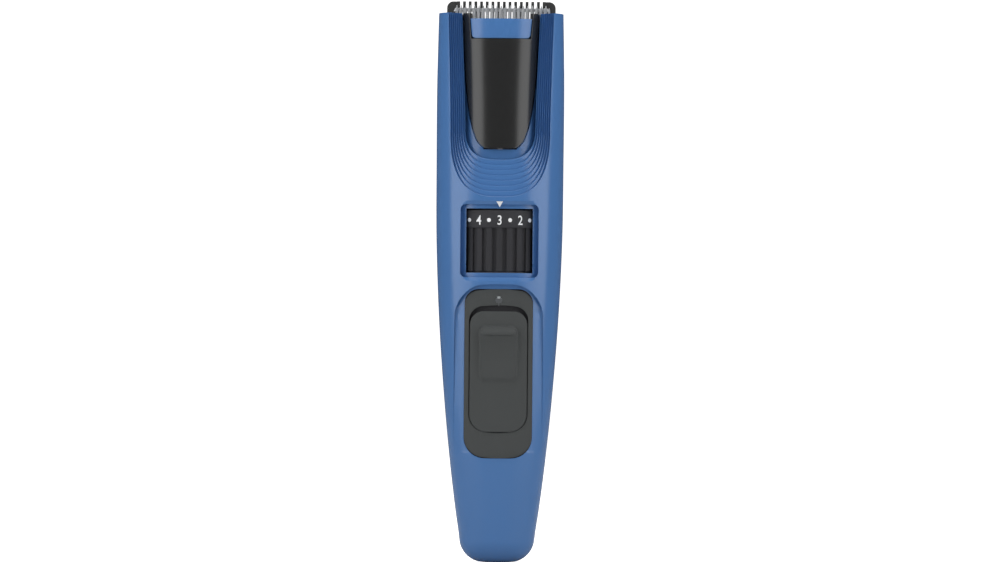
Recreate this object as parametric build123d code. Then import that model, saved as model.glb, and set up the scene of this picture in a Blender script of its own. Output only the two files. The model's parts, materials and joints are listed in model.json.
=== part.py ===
from build123d import *
import math
import os

# Cordless beard trimmer, standing on its base with the cutting head up.
# Millimetres. Origin at the middle of the base, +Z up to the blades,
# -Y towards the thumb side (front), +X to the right seen from the front.

# ---------------------------------------------------------------- body form
# Each row: height, half width, depth to the front, depth to the rear,
# squareness of the section (2 is an ellipse, larger is boxier).
BODY_ROWS = [
    (0.0, 11.2, 10.3, 10.3, 2.3),
    (8.0, 11.85, 11.0, 10.9, 2.3),
    (16.0, 13.0, 11.8, 11.7, 2.3),
    (30.0, 14.75, 13.1, 13.1, 2.35),
    (50.0, 16.75, 14.8, 15.0, 2.4),
    (75.0, 18.6, 16.6, 17.3, 2.5),
    (100.0, 19.65, 17.8, 19.0, 2.6),
    (125.0, 19.85, 17.5, 18.4, 2.75),
    (150.0, 19.85, 15.8, 15.8, 2.9),
    (178.0, 19.35, 12.8, 10.9, 3.0),
]
SECTION_POINTS = 20
BASE_ROUND = 7.0
WALL = 2.0
BODY_TOP = 171.1
PARTING_Y = 3.0
ARM_BACK_Y = 2.2
ARM_TOP_BACK_Y = -2.8

# sloping deck behind the neck, on which the guide comb sits
DECK_LOW = (17.0, 136.0)
DECK_HIGH = (2.0, 150.0)
DECK_SLOPE = (DECK_LOW[1] - DECK_HIGH[1]) / (DECK_LOW[0] - DECK_HIGH[0])
DECK_THICK = 2.0

# stepped recess round the neck
STEP_COUNT = 4
STEP_DEPTH = 1.65
LAST_STEP_DEPTH = 6.9
STEP_SIDE = 1.5
STEP_BOTTOM = 3.85
RECESS_HALF = 15.45
RECESS_TOP_HALF = 16.5
RECESS_CENTRE_Z = 136.0
RECESS_BOTTOM_Z = 113.9
RECESS_POWER = 2.8
RECESS_WALL = 1.5

# neck cover
NECK_OUTLINE = [(4.8, 129.0), (7.3, 131.8), (8.8, 136.5), (10.1, 144.3), (11.2, 156.8), (11.6, 171.0)]
NECK_ROWS = [
    (124.0, 12.9, 13.2, 6.0, 2.5),
    (140.0, 12.9, 12.4, 6.0, 2.5),
    (155.0, 12.9, 10.9, 6.0, 2.5),
    (176.0, 12.9, 8.8, 6.0, 2.5),
]
NECK_WALL = 1.6
NECK_GAP = 0.35
NECK_BACK_Y = -2.9
NOTCH_TOP_HALF = 9.9
NOTCH_LOW_HALF = 9.2
NOTCH_LOW_Z = 163.1
NOTCH_ROUND = 1.5

# length dial
DIAL_LOW_Z = 90.8
DIAL_HIGH_Z = 109.7
DIAL_BAND_Z = 104.3
DIAL_R = 16.8
DIAL_RIDGE_R = 16.3
DIAL_GROOVE_R = 15.55
DIAL_BORE_R = 14.0
DIAL_STEPS = 32
DIAL_GROOVE_WIDTH = 1.35
DIAL_ROOM_R = 17.15
DIAL_ROOM_GAP = 0.5
THREAD_LEAD = 16.0
THREAD_DEPTH = 0.9
THREAD_WIDTH = 1.5
PIN_R = 0.6
PIN_REST_Z = 97.5
TRAVEL_DOWN = 2.5
TRAVEL_UP = 7.0

# front window round the dial
WINDOW_HALF = 10.4
POCKET_HALF = 12.5
POCKET_LOW_Z = 89.3
POCKET_HIGH_Z = 111.4
POCKET_DEPTH = 1.2
SCOOP_HALF = 11.0
SCOOP_HIGH_Z = 113.0
SCOOP_LOW_Z = 87.2

# soft crease round the thumb panel: depth grows from the foot to the top
CREASE_HALF = 13.75
CREASE_LOW_Z = 34.0
CREASE_HIGH_Z = 86.8
CREASE_DEPTH = 1.6

# thumb panel, slide button and thumb rest
PANEL_HALF = 10.6
PANEL_Z = (32.8, 85.3)
PANEL_PROUD = 0.25
PANEL_BACK = 1.25
SLIDE_HALF = 8.9
SLIDE_Z = (40.9, 78.4)
SLIDE_PROUD = 0.65
SLIDE_BACK = 1.0
SLIDE_GAP = 0.25
SLIDE_TRAVEL = 1.6
PANEL_SEAT = 1.3
PANEL_INNER = 3.0
THUMB_HALF = 6.1
THUMB_Z = (56.8, 74.0)
THUMB_CREST_Z = 71.3
THUMB_RISE = 1.9

# inner frame
TUBE_R = 12.0
TUBE_BORE_R = 10.6
TUBE_Z = (86.0, 118.6)
PLATE_Z = (84.6, 86.6)
PLATE_INSET = 2.15
PLATE_FRONT_Y = -10.2
RACE_R = 15.2
RACE_TOP_Z = 90.6
FLOOR_Z = (117.4, 119.0)

# motor, standing on end under the neck
MOTOR_Y = -1.5
MOTOR_R = 7.2
MOTOR_CAN_Z = (125.5, 148.0)
MOTOR_CAP_Z = (121.0, 125.5)
CAN_WALL = 0.6
CRADLE_R = 8.2
CRADLE_BORE_R = 7.3
CRADLE_TOP_Z = 156.0
CRADLE_FRONT_Y = -8.75
SHAFT_R = 0.75
SHAFT_Z = (122.5, 152.0)
BUSH_R = 2.2
BUSH_BORE_R = 0.78
ROTOR_R = 4.9
ROTOR_Z = (131.0, 143.0)
MAGNET_R = (5.25, 6.55)
MAGNET_Z = (128.5, 146.0)
COMMUTATOR_Z = (126.3, 129.8)
ECCENTRIC_Z = (149.6, 153.2)
ECCENTRIC_R = 3.6
CRANK_R = 1.0
CRANK_PIN_R = 0.7
CRANK_PIN_TOP_Z = 157.4
BAND_R = (8.25, 8.75)
BAND_Z = (131.5, 136.0)

# battery, board and charging socket
CELL_R = 7.1
CELL_Y = 1.5
CELL_Z = (26.0, 76.0)
TRAY_BORE_R = 7.2
TRAY_R = 8.0
TRAY_Z = (25.0, 84.7)
BOARD_HALF = 6.5
BOARD_Y = (-8.0, -6.8)
BOARD_Z = (36.0, 83.4)
SWITCH_Z = (58.5, 67.5)
SWITCH_HALF = 1.9
SWITCH_FRONT_Y = -9.9
KNOB_Z = 62.5
FOOT_BACK_Y = -10.5
LED_Z = 82.2
SOCKET_HALF = (3.6, 2.3)
SOCKET_BODY_HALF = (4.7, 2.95)
SOCKET_BODY_Z = (2.2, 12.0)
SOCKET_DEPTH_Z = 9.0
CONTACT_X = 1.7
CONTACT_R = 0.6
CONTACT_Z = (4.8, 14.0)

# cutting head: the drive side faces the front, the comb is behind
TOOTH_PITCH = 1.39
GUARD_TEETH = 21
GUARD_HALF = 14.75
GUARD_Y = (-1.68, -0.72)
GUARD_Z = (159.0, 173.8)
MOVING_TEETH = 21
MOVING_HALF = 14.2
MOVING_Y = (-2.4, -1.7)
MOVING_Z = (160.5, 173.0)
TOOTH_ROOT_Z = 168.9
BLADE_STROKE = 2.0
FRAME_Z = (157.0, 169.0)
FRAME_HALF = 8.9
FRAME_CAVITY_HALF = 7.6
FRAME_FRONT_INSET = 0.12
FRAME_BODY_INSET = 2.35
FRAME_FRONT_INNER = 2.6
FRAME_FRONT_TOP_Z = 169.4
NOTCH_GAP = 0.2
FRAME_PLATE_Y = (-0.72, 0.9)
FRAME_PLATE_HALF = 14.2
FRAME_PLATE_Z = (158.5, 167.6)
BLADE_SCREW_X = 10.8
BLADE_SCREW_Z = 162.6

# guide comb and its carriage
RIB_COUNT = 16
RIB_PITCH = 1.78
RIB_WIDTH = 0.9
RIB_TIP_Y = 2.4
RIB_BACK_Y = 1.5
COMB_TOP_Z = 175.2
COMB_HEEL = (9.2, 146.8)
COMB_BAR = [(9.7, 147.3), (12.9, 144.3), (12.9, 147.2), (9.7, 149.4)]
COMB_SKIN = [(13.4, 142.8), (13.4, 148.0), (12.9, 153.0), (11.6, 158.0), (9.6, 163.0), (7.1, 168.0),
             (4.6, 172.4)]
POST_X = (13.75, 17.0)
POST_Y = (2.6, 4.0)
POST_ROUND = 2.0
ARM_X = (13.9, 16.6)
ARM_Y = (2.8, 6.8)
ARM_Z = (112.6, 150.0)
LEG_X = (14.45, 16.05)
LEG_Y = (3.65, 5.95)
LEG_Z = (138.2, 150.2)
LEG_GAP = 0.05
SLEEVE_R = 13.7
SLEEVE_BORE_R = 12.15
SLEEVE_Z = (94.0, 116.0)
SLEEVE_FRONT_Z = 105.0
YOKE_Z = (112.6, 116.0)
SHELL_SCREW_X = 11.2
SHELL_SCREW_Z = 143.0

FAR = 60.0


# ---------------------------------------------------------------- helpers
def blend_row(rows, z):
    """Half width, front and rear depth at a height, between the rows."""
    for low, high in zip(rows, rows[1:]):
        if z <= high[0]:
            part = (z - low[0]) / (high[0] - low[0])
            return [a + (b - a) * part for a, b in zip(low, high)]
    return list(rows[-1])


def section(z, half, front, rear, power, inset=0.0):
    """A closed section: a superellipse with its own front and rear depths."""
    points = []
    for i in range(SECTION_POINTS):
        turn = 2 * math.pi * (i + 0.5) / SECTION_POINTS
        c, s = math.cos(turn), math.sin(turn)
        depth = (front if s < 0 else rear) - inset
        x = (half - inset) * math.copysign(abs(c) ** (2 / power), c)
        y = depth * math.copysign(abs(s) ** (2 / power), s)
        points.append((x, y, z))
    return Wire([Edge.make_spline([Vector(*p) for p in points], periodic=True)])


def crease_sink(z):
    """How far the crease lies below the body's own surface; it runs out above its foot."""
    part = (z - CREASE_LOW_Z) / (CREASE_HIGH_Z - CREASE_LOW_Z)
    return CREASE_DEPTH * min(max(part, -0.3), 1.0)


def form(rows, inset=0.0, low=None, high=None, sunk=False):
    """A smooth solid through the rows, drawn in by inset, between two heights."""
    levels = [r[0] for r in rows]
    low = levels[0] if low is None else low
    high = levels[-1] if high is None else high
    levels = [low] + [z for z in levels if low + 1 < z < high - 1] + [high]
    wires = []
    for z in levels:
        _, half, front, rear, power = blend_row(rows, z)
        if sunk:
            front -= crease_sink(z)
        wires.append(section(z, half, front, rear, power, inset))
    return Solid.make_loft(wires)


def front_y(z, inset=0.0, sunk=True):
    """Y of the body's front at its middle."""
    front = blend_row(BODY_ROWS, z)[2]
    return -(front - inset - (crease_sink(z) if sunk else 0.0))


def prism_xz(face, back_y, front_y_limit=-FAR):
    """A flat outline drawn in X and Z, stretched from back_y to the front."""
    solid = extrude(Plane.XZ * face, amount=back_y - front_y_limit, dir=(0, -1, 0))
    return Pos(0, back_y, 0) * solid


def prism_yz(points, half):
    """An outline of (y, z) points, stretched to both sides of X = 0."""
    return extrude(Plane.YZ * make_face(Polyline(*points, close=True)), amount=half, both=True)


def block(x, y, z):
    """A box between pairs of limits."""
    size = [b - a for a, b in (x, y, z)]
    return Pos(*[(a + b) / 2 for a, b in (x, y, z)]) * Box(*size)


def rod(radius, z, x=0.0, y=0.0):
    """An upright cylinder between two heights."""
    return Pos(x, y, (z[0] + z[1]) / 2) * Cylinder(radius, z[1] - z[0])


def ring(outer, inner, z, x=0.0, y=0.0):
    return rod(outer, z, x, y) - rod(inner, z, x, y)


def rod_y(radius, x, z, y):
    """A cylinder along Y between two depths."""
    return Pos(x, (y[0] + y[1]) / 2, z) * Rot(X=90) * Cylinder(radius, y[1] - y[0])


def mirrored(shape):
    """The shape and its mirror image in the middle plane."""
    return shape + mirror(shape, about=Plane.YZ)


def pair(make):
    """Two separate solids, one each side of the middle."""
    right = make()
    return Compound(children=[right, mirror(right, about=Plane.YZ)])


def shield(half, z, round_low, round_high, arch_low, arch_high):
    """A panel outline with arched ends and rounded corners."""
    low, high = z
    left_low, right_low = (-half, low + arch_low), (half, low + arch_low)
    left_high, right_high = (-half, high - arch_high), (half, high - arch_high)
    face = make_face([
        ThreePointArc(left_low, (0, low), right_low),
        Line(right_low, right_high),
        ThreePointArc(right_high, (0, high), left_high),
        Line(left_high, left_low),
    ])
    corners = face.vertices().sort_by(Axis.Y)
    face = fillet(corners[:2], round_low)
    corners = [v for v in face.vertices() if abs(abs(v.X) - half) < 1e-3 and abs(v.Y - left_high[1]) < 1e-3]
    return fillet(corners, round_high)


def step_depth(step):
    """How deep a step lies below the body's surface; the last one is a well."""
    return STEP_DEPTH * (step + 1) if step < STEP_COUNT - 1 else LAST_STEP_DEPTH


def notch_outline(gap=0.0, top=BODY_TOP):
    """The neck's notch for the cutting head, drawn in by a gap."""
    spread = (NOTCH_TOP_HALF - NOTCH_LOW_HALF) / (BODY_TOP - NOTCH_LOW_Z)
    low, high = NOTCH_LOW_HALF - gap, NOTCH_LOW_HALF + spread * (top - NOTCH_LOW_Z) - gap
    foot = NOTCH_LOW_Z + gap
    face = make_face(Polyline((-low, foot), (low, foot), (high, top), (-high, top), close=True))
    return fillet(face.vertices().sort_by(Axis.Y)[:2], NOTCH_ROUND - gap)


def recess_outline(step, grow=0.0):
    """The U of one step of the recess round the neck."""
    half = RECESS_HALF - STEP_SIDE * step + grow
    top_half = RECESS_TOP_HALF - (RECESS_TOP_HALF - 12.5) * step / (STEP_COUNT - 1) + grow
    height = RECESS_CENTRE_Z - RECESS_BOTTOM_Z - STEP_BOTTOM * step + grow
    points = [(top_half, 180.0), (top_half, BODY_TOP)]
    side = [(half, RECESS_CENTRE_Z)]
    for degrees in (20, 40, 58, 76, 90):
        turn = math.radians(degrees)
        x = half * max(math.cos(turn), 0.0) ** (2 / RECESS_POWER)
        z = RECESS_CENTRE_Z - height * math.sin(turn) ** (2 / RECESS_POWER)
        side.append((x if degrees < 90 else 0.0, z))
    curve = points[1:] + side
    curve += [(-x, z) for x, z in reversed(curve[:-1])]
    return make_face([
        Spline(*curve),
        Polyline(curve[-1], (-top_half, 180.0), (top_half, 180.0), curve[0]),
    ])


def neck_outline(grow=0.0, top=BODY_TOP):
    """The neck's outline, tapering to a flat foot."""
    low_x, low_z = NECK_OUTLINE[0]
    right = [(low_x + grow, low_z - grow)]
    right += [(x + grow, z - grow * 0.3) for x, z in NECK_OUTLINE[1:-1]]
    right += [(NECK_OUTLINE[-1][0] + grow, top)]
    left = [(-x, z) for x, z in reversed(right)]
    return make_face([Spline(*right), Line(right[-1], left[0]), Spline(*left), Line(left[-1], right[0])])


def deck_wedge(lift=0.0):
    """Everything above the sloping deck and behind the arms' tops."""
    arm_z = DECK_HIGH[1] + (ARM_TOP_BACK_Y - DECK_HIGH[0]) * DECK_SLOPE + lift
    far_z = DECK_LOW[1] + (30.0 - DECK_LOW[0]) * DECK_SLOPE + lift
    return prism_yz([(ARM_TOP_BACK_Y, arm_z), (30.0, far_z), (30.0, 190.0), (ARM_TOP_BACK_Y, 190.0)], FAR)


# ---------------------------------------------------------------- shared forms
BODY = fillet(form(BODY_ROWS).edges().group_by(Axis.Z)[0], BASE_ROUND)
HOLLOW = fillet(form(BODY_ROWS, WALL, low=2.2).edges().group_by(Axis.Z)[0], 5.0)
NECK = form(NECK_ROWS)
CLEARANCE_Z = (DIAL_LOW_Z - DIAL_ROOM_GAP, DIAL_HIGH_Z + DIAL_ROOM_GAP)


def halves(shape, front):
    """The part of a shape in front of or behind the parting face."""
    if front:
        return shape & block((-FAR, FAR), (-FAR, PARTING_Y), (-5, 190))
    return shape & block((-FAR, FAR), (PARTING_Y, FAR), (-5, 190))


# ---------------------------------------------------------------- casing
def front_hollow():
    """The space inside the front shell, left thick behind the recess and the panel."""
    space = HOLLOW
    for step in range(STEP_COUNT):
        wall = prism_xz(recess_outline(step, grow=RECESS_WALL), ARM_BACK_Y)
        space -= wall - form(BODY_ROWS, step_depth(step) + RECESS_WALL, low=104.0)
    inner = form(BODY_ROWS, LAST_STEP_DEPTH + RECESS_WALL, low=104.0)
    space -= block((-FAR, FAR), (-FAR, ARM_BACK_Y), (146.0, 190.0)) - inner
    crease_back = prism_xz(shield(CREASE_HALF + 1.0, (28.0, 88.2), 9.0, 11.0, 1.0, 1.2), 0.0)
    space -= crease_back - form(BODY_ROWS, WALL, low=20.0, high=95.0, sunk=True)
    panel_back = prism_xz(shield(PANEL_HALF + 1.4, (31.0, 87.4), 7.5, 5.5, 1.5, 1.2), 0.0)
    return space - (panel_back - form(BODY_ROWS, PANEL_INNER, low=20.0, high=95.0, sunk=True))


def recess(shell):
    """Cuts the stepped recess: each step is parallel to the body's surface."""
    for step in range(STEP_COUNT):
        shell -= prism_xz(recess_outline(step), 0.0) - form(BODY_ROWS, step_depth(step), low=104.0)
    return shell


def window():
    """The opening for the dial, its side pockets and the two finger scoops."""
    pocket = prism_xz(shield(POCKET_HALF, (POCKET_LOW_Z, POCKET_HIGH_Z), 1.2, 1.2, 0.1, 0.1), 0.0)
    cut = pocket - form(BODY_ROWS, POCKET_DEPTH, low=80.0, high=120.0)
    cut += block((-WINDOW_HALF, WINDOW_HALF), (-FAR, -9.0), CLEARANCE_Z)
    for low, high in ((107.0, SCOOP_HIGH_Z), (93.0, SCOOP_LOW_Z)):
        deep = front_y(high, sunk=False)
        scoop = [(deep - 0.1, high), (deep + 3.6, low), (deep - 6, low), (deep - 6, high)]
        cut += prism_yz(scoop, SCOOP_HALF)
    return cut


def crease():
    """The soft hollow in which the thumb panel lies."""
    outline = shield(CREASE_HALF, (28.0, CREASE_HIGH_Z), 9.0, 11.0, 1.0, 1.2)
    return prism_xz(outline, 0.0) - form(BODY_ROWS, 0.0, low=20.0, high=95.0, sunk=True)


def panel_seat():
    outline = shield(PANEL_HALF, PANEL_Z, 6.5, 4.5, 1.5, 1.2)
    return prism_xz(outline, 0.0) - form(BODY_ROWS, PANEL_SEAT, low=20.0, high=95.0, sunk=True)


def front_shell():
    """Front half of the casing, with the two arms beside the head."""
    shell = halves(BODY, True) - front_hollow() - deck_wedge()
    shell += mirrored(rod_y(2.2, SHELL_SCREW_X, SHELL_SCREW_Z, (0.0, PARTING_Y)))
    shell -= block((-FAR, FAR), (-FAR, FAR), (BODY_TOP, 190))
    shell = recess(shell)
    shell -= prism_xz(neck_outline(NECK_GAP, top=185.0), ARM_BACK_Y)
    shell -= rod(DIAL_ROOM_R, CLEARANCE_Z)
    shell -= window()
    shell -= crease()
    shell -= panel_seat()
    shell -= block((-1.9, 1.9), (-FAR, -9), (60.5, 66.1))
    shell -= rod_y(0.9, 0, LED_Z, (-FAR, -9))
    shell -= mirrored(rod_y(0.82, SHELL_SCREW_X, SHELL_SCREW_Z, (-2.2, PARTING_Y + 1)))
    shell -= block((-SOCKET_HALF[0], SOCKET_HALF[0]), (-SOCKET_HALF[1], SOCKET_HALF[1]), (-1, 5))
    return shell


def rear_shell():
    """Rear half of the casing, closed at the top by the sloping deck."""
    shell = halves(BODY, False) - deck_wedge()
    deck = HOLLOW - (HOLLOW - deck_wedge(-DECK_THICK))
    shell -= HOLLOW - deck
    shell -= rod(CRADLE_R + 0.5, (120, 170), y=MOTOR_Y)
    shell -= mirrored(block((13.3, 17.4), (0.0, 9.4), (130, 160)))
    boss = rod_y(2.3, SHELL_SCREW_X, SHELL_SCREW_Z, (PARTING_Y, 10.0)) - deck_wedge()
    shell += mirrored(boss)
    shell -= mirrored(rod_y(0.9, SHELL_SCREW_X, SHELL_SCREW_Z, (0, 12)))
    shell -= mirrored(rod_y(1.75, SHELL_SCREW_X, SHELL_SCREW_Z, (6.5, 14)))
    shell -= rod(DIAL_ROOM_R, CLEARANCE_Z)
    return shell


def shell_screws():
    """Two pan-head screws under the comb that hold the halves together."""
    def screw():
        shank = rod_y(0.8, SHELL_SCREW_X, SHELL_SCREW_Z, (-2.0, 6.5))
        head = rod_y(1.6, SHELL_SCREW_X, SHELL_SCREW_Z, (6.5, 7.7))
        cross = Pos(SHELL_SCREW_X, 7.5, SHELL_SCREW_Z) * (Box(1.9, 0.8, 0.4) + Box(0.4, 0.8, 1.9))
        return shank + head - cross
    return pair(screw)


def neck_cover():
    """Glossy cover over the motor, notched for the cutting head."""
    cover = prism_xz(neck_outline(), NECK_BACK_Y) & NECK
    cover -= form(NECK_ROWS, NECK_WALL)
    return cover - prism_xz(notch_outline(top=BODY_TOP + 4), 0.0)


def switch_panel():
    """Soft-touch panel round the slide button."""
    outline = shield(PANEL_HALF - 0.03, (PANEL_Z[0] + 0.03, PANEL_Z[1] - 0.03), 6.5, 4.5, 1.5, 1.2)
    panel = prism_xz(outline, 0.0) & form(BODY_ROWS, -PANEL_PROUD, low=20.0, high=95.0, sunk=True)
    panel -= form(BODY_ROWS, PANEL_BACK, low=15.0, high=98.0, sunk=True)
    well = (SLIDE_Z[0] - SLIDE_GAP, SLIDE_Z[1] + SLIDE_TRAVEL + SLIDE_GAP)
    panel -= prism_xz(shield(SLIDE_HALF + SLIDE_GAP, well, 5.6, 4.4, 1.5, 1.0), 0.0)
    return panel - rod_y(0.9, 0, LED_Z, (-FAR, 0))


# ---------------------------------------------------------------- slide button
def slide_button():
    """The plate that the thumb pushes up, with its ramped rest."""
    plate = prism_xz(shield(SLIDE_HALF, SLIDE_Z, 5.5, 4.2, 1.5, 1.0), 0.0)
    skin = form(BODY_ROWS, -SLIDE_PROUD, low=20.0, high=95.0, sunk=True)
    seat = form(BODY_ROWS, SLIDE_BACK, low=15.0, high=98.0, sunk=True)
    low, high = THUMB_Z
    crest = front_y(THUMB_CREST_Z, -SLIDE_PROUD) - THUMB_RISE
    start = front_y(low, -SLIDE_PROUD) + 0.4
    back = start + 0.8
    ramp = make_face([
        Spline((start, low), (front_y(64.0, -SLIDE_PROUD) - 0.15, 64.0),
               (front_y(69.0, -SLIDE_PROUD) - 0.95, 69.0), (crest, THUMB_CREST_Z)),
        Polyline((crest, THUMB_CREST_Z), (crest + 0.35, high - 1.0), (front_y(high, 0.3), high),
                 (back, high), (back, low), (start, low)),
    ])
    rest = extrude(Plane.YZ * ramp, amount=THUMB_HALF, both=True)
    rest &= prism_xz(shield(THUMB_HALF, THUMB_Z, 2.0, 3.5, 0.2, 0.5), 0.0)
    return ((plate & skin) + rest) - seat


def slider_foot():
    """Fork under the slide button that carries the switch knob with it."""
    foot = block((-1.5, 1.5), (-FAR, FOOT_BACK_Y), (KNOB_Z - 1.6, KNOB_Z + 1.6))
    foot &= form(BODY_ROWS, SLIDE_BACK, low=15.0, high=98.0, sunk=True)
    return foot - block((-0.72, 0.72), (-11.6, 0), (KNOB_Z - 0.72, KNOB_Z + 0.72))


def switch_knob():
    return block((-0.7, 0.7), (-11.5, -8.9), (KNOB_Z - 0.7, KNOB_Z + 0.7))


def switch_housing():
    """Slide switch on the board, with a slot for its knob."""
    case = block((-SWITCH_HALF, SWITCH_HALF), (SWITCH_FRONT_Y, BOARD_Y[0]), SWITCH_Z)
    return case - block((-0.85, 0.85), (SWITCH_FRONT_Y - 1, -8.8), (KNOB_Z - 0.9, KNOB_Z + 2.5))


# ---------------------------------------------------------------- length dial and comb drive
def helix_groove(radius, low, high, width):
    """A left-hand groove cut into the dial's bore, from one height to another."""
    turns = (high - low) / THREAD_LEAD
    start = -math.degrees(2 * math.pi * (low - PIN_REST_Z) / THREAD_LEAD) - 90
    path = Helix(pitch=THREAD_LEAD, height=turns * THREAD_LEAD, radius=radius, lefthand=True)
    path = Pos(0, 0, low) * Rot(Z=start) * path
    at = path @ 0
    along = Vector(at.X, at.Y, 0).normalized()
    face = Plane(origin=at, x_dir=along, z_dir=path % 0) * Rectangle(2 * THREAD_DEPTH, width)
    return sweep(face, path=path, binormal=Edge.make_line((0, 0, 0), (0, 0, 1)))


def length_dial():
    """Numbered ring: ribbed for the finger, with a helical groove inside."""
    grooves = PolarLocations(DIAL_GROOVE_R + 2, DIAL_STEPS, start_angle=-90 + 180 / DIAL_STEPS)
    profile = Circle(DIAL_RIDGE_R) - grooves * Rectangle(4, DIAL_GROOVE_WIDTH)
    dial = Pos(0, 0, DIAL_LOW_Z) * extrude(profile, amount=DIAL_BAND_Z - DIAL_LOW_Z)
    dial += rod(DIAL_R, (DIAL_BAND_Z, DIAL_HIGH_Z))
    dial -= rod(DIAL_BORE_R, (DIAL_LOW_Z - 1, DIAL_HIGH_Z + 1))
    ends = (PIN_REST_Z - TRAVEL_DOWN - 0.35, PIN_REST_Z + TRAVEL_UP + 0.35)
    dial -= helix_groove(DIAL_BORE_R, *ends, THREAD_WIDTH)
    spots = PolarLocations(DIAL_BORE_R + 0.8, DIAL_STEPS)
    return dial - [Pos(0, 0, DIAL_LOW_Z) * spot * Cylinder(0.45, 0.8) for spot in spots]


def detent_spring():
    """Leaf on the dial's race whose nose clicks into the dial's notches."""
    leaf = ring(15.0, 14.1, (RACE_TOP_Z - 1.25, RACE_TOP_Z - 0.95))
    leaf &= block((-6, 6), (0, FAR), (80, 100))
    nose = rod(0.4, (RACE_TOP_Z - 1.0, DIAL_LOW_Z - 0.05), y=DIAL_BORE_R + 0.55)
    return leaf + nose


def comb_carriage():
    """Sleeve on the guide tube, driven by its pin, with two arms up to the comb."""
    sleeve = ring(SLEEVE_R, SLEEVE_BORE_R, SLEEVE_Z)
    sleeve -= block((-FAR, FAR), (-FAR, 0), (SLEEVE_FRONT_Z, SLEEVE_Z[1] + 1))
    pin = Pos(0, -(SLEEVE_R + 0.3), PIN_REST_Z) * Rot(X=90) * Cylinder(PIN_R, 1.4)
    yoke = block((-ARM_X[1], ARM_X[1]), (ARM_Y[0], ARM_Y[1]), YOKE_Z) - rod(SLEEVE_BORE_R, (90, 130))
    arm = block(ARM_X, ARM_Y, ARM_Z)
    pocket = block((LEG_X[0] - LEG_GAP, LEG_X[1] + LEG_GAP), (LEG_Y[0] - LEG_GAP, LEG_Y[1] + LEG_GAP),
                   (LEG_Z[0] - 0.2, ARM_Z[1] + 1))
    return sleeve + pin + yoke + mirrored(arm) - mirrored(pocket)


def slab(points, x):
    """An outline of (y, z) points, stretched between two widths."""
    outline = Plane.YZ * make_face(Polyline(*points, close=True))
    return Pos(x[0], 0, 0) * extrude(outline, amount=x[1] - x[0])


def comb_rib(x):
    """One rib: its outer face slopes to the thin tip that lifts the hair."""
    tip = [(RIB_TIP_Y, COMB_TOP_Z), (RIB_BACK_Y, COMB_TOP_Z), (RIB_BACK_Y, 171.6)]
    inner = [(4.0, 166.0), (7.0, 158.5), (8.9, 151.0), COMB_HEEL]
    return slab(COMB_SKIN + tip + inner, (x - RIB_WIDTH / 2, x + RIB_WIDTH / 2))


def comb_post():
    """Side cheek of the comb, with the leg that plugs into the carriage."""
    inner = [(POST_Y[1], COMB_TOP_Z), (POST_Y[0], COMB_TOP_Z), (POST_Y[0], ARM_Z[1] + 0.2),
             (COMB_HEEL[0], ARM_Z[1] + 0.2), COMB_HEEL]
    post = slab(COMB_SKIN + inner, POST_X)
    post = fillet(post.edges().filter_by(Axis.Y).sort_by(Axis.Z)[-2:].sort_by(Axis.X)[-1], POST_ROUND)
    rear_cut = Polyline((POST_X[1] + 0.01, 8.6), (14.2, 14.0), (20.0, 14.0), (20.0, 8.6), close=True)
    post -= extrude(make_face(rear_cut), amount=200)
    return post + block(LEG_X, LEG_Y, (LEG_Z[0], LEG_Z[1] + 0.2))


def guide_comb():
    """Clip-on comb behind the blades that sets the hair length."""
    comb = mirrored(comb_post())
    comb += slab(COMB_BAR, (-POST_X[0] - 0.5, POST_X[0] + 0.5))
    for i in range(RIB_COUNT):
        comb += comb_rib((i - (RIB_COUNT - 1) / 2) * RIB_PITCH)
    return comb


# ---------------------------------------------------------------- cutting head
def toothed_plate(half, teeth, z, root_width, tip_width, shoulder_z, y):
    """A blade: a plate with a row of tapered teeth along its top edge."""
    outline = make_face(Polyline(
        (-half + 3, z[0]), (half - 3, z[0]), (half, z[0] + 3), (half, TOOTH_ROOT_Z),
        (-half, TOOTH_ROOT_Z), (-half, z[0] + 3), close=True))
    for i in range(teeth):
        x = (i - (teeth - 1) / 2) * TOOTH_PITCH
        outline += make_face(Polyline(
            (x - root_width / 2, TOOTH_ROOT_Z - 0.2), (x + root_width / 2, TOOTH_ROOT_Z - 0.2),
            (x + root_width / 2, shoulder_z), (x + tip_width / 2, z[1]), (x - tip_width / 2, z[1]),
            (x - root_width / 2, shoulder_z), close=True))
    return prism_xz(outline, y[1], y[0])


def guard_blade():
    """Fixed blade with the longer teeth."""
    blade = toothed_plate(GUARD_HALF, GUARD_TEETH, GUARD_Z, 0.8, 0.25, 171.8, GUARD_Y)
    return blade - mirrored(rod_y(0.77, BLADE_SCREW_X, BLADE_SCREW_Z, (-3, 3)))


def moving_blade():
    """Blade that slides across the guard, drawn at one end of its stroke."""
    blade = toothed_plate(MOVING_HALF, MOVING_TEETH, MOVING_Z, 0.66, 0.3, 172.0, MOVING_Y)
    return Pos(BLADE_STROKE / 2, 0, 0) * blade


def drive_bridge():
    """Slotted follower that turns the crank pin's circle into the stroke."""
    x = BLADE_STROKE / 2
    foot = block((x - 2.3, x + 2.3), (-3.6, 1.15), (154.5, 158.0))
    foot -= block((x - 0.98, x + 0.98), (-2.75, 0.5), (154.0, 159.0))
    web = block((x - 2.3, x + 2.3), (-4.2, MOVING_Y[0] - 0.02), (154.5, 164.4))
    return foot + web


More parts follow.
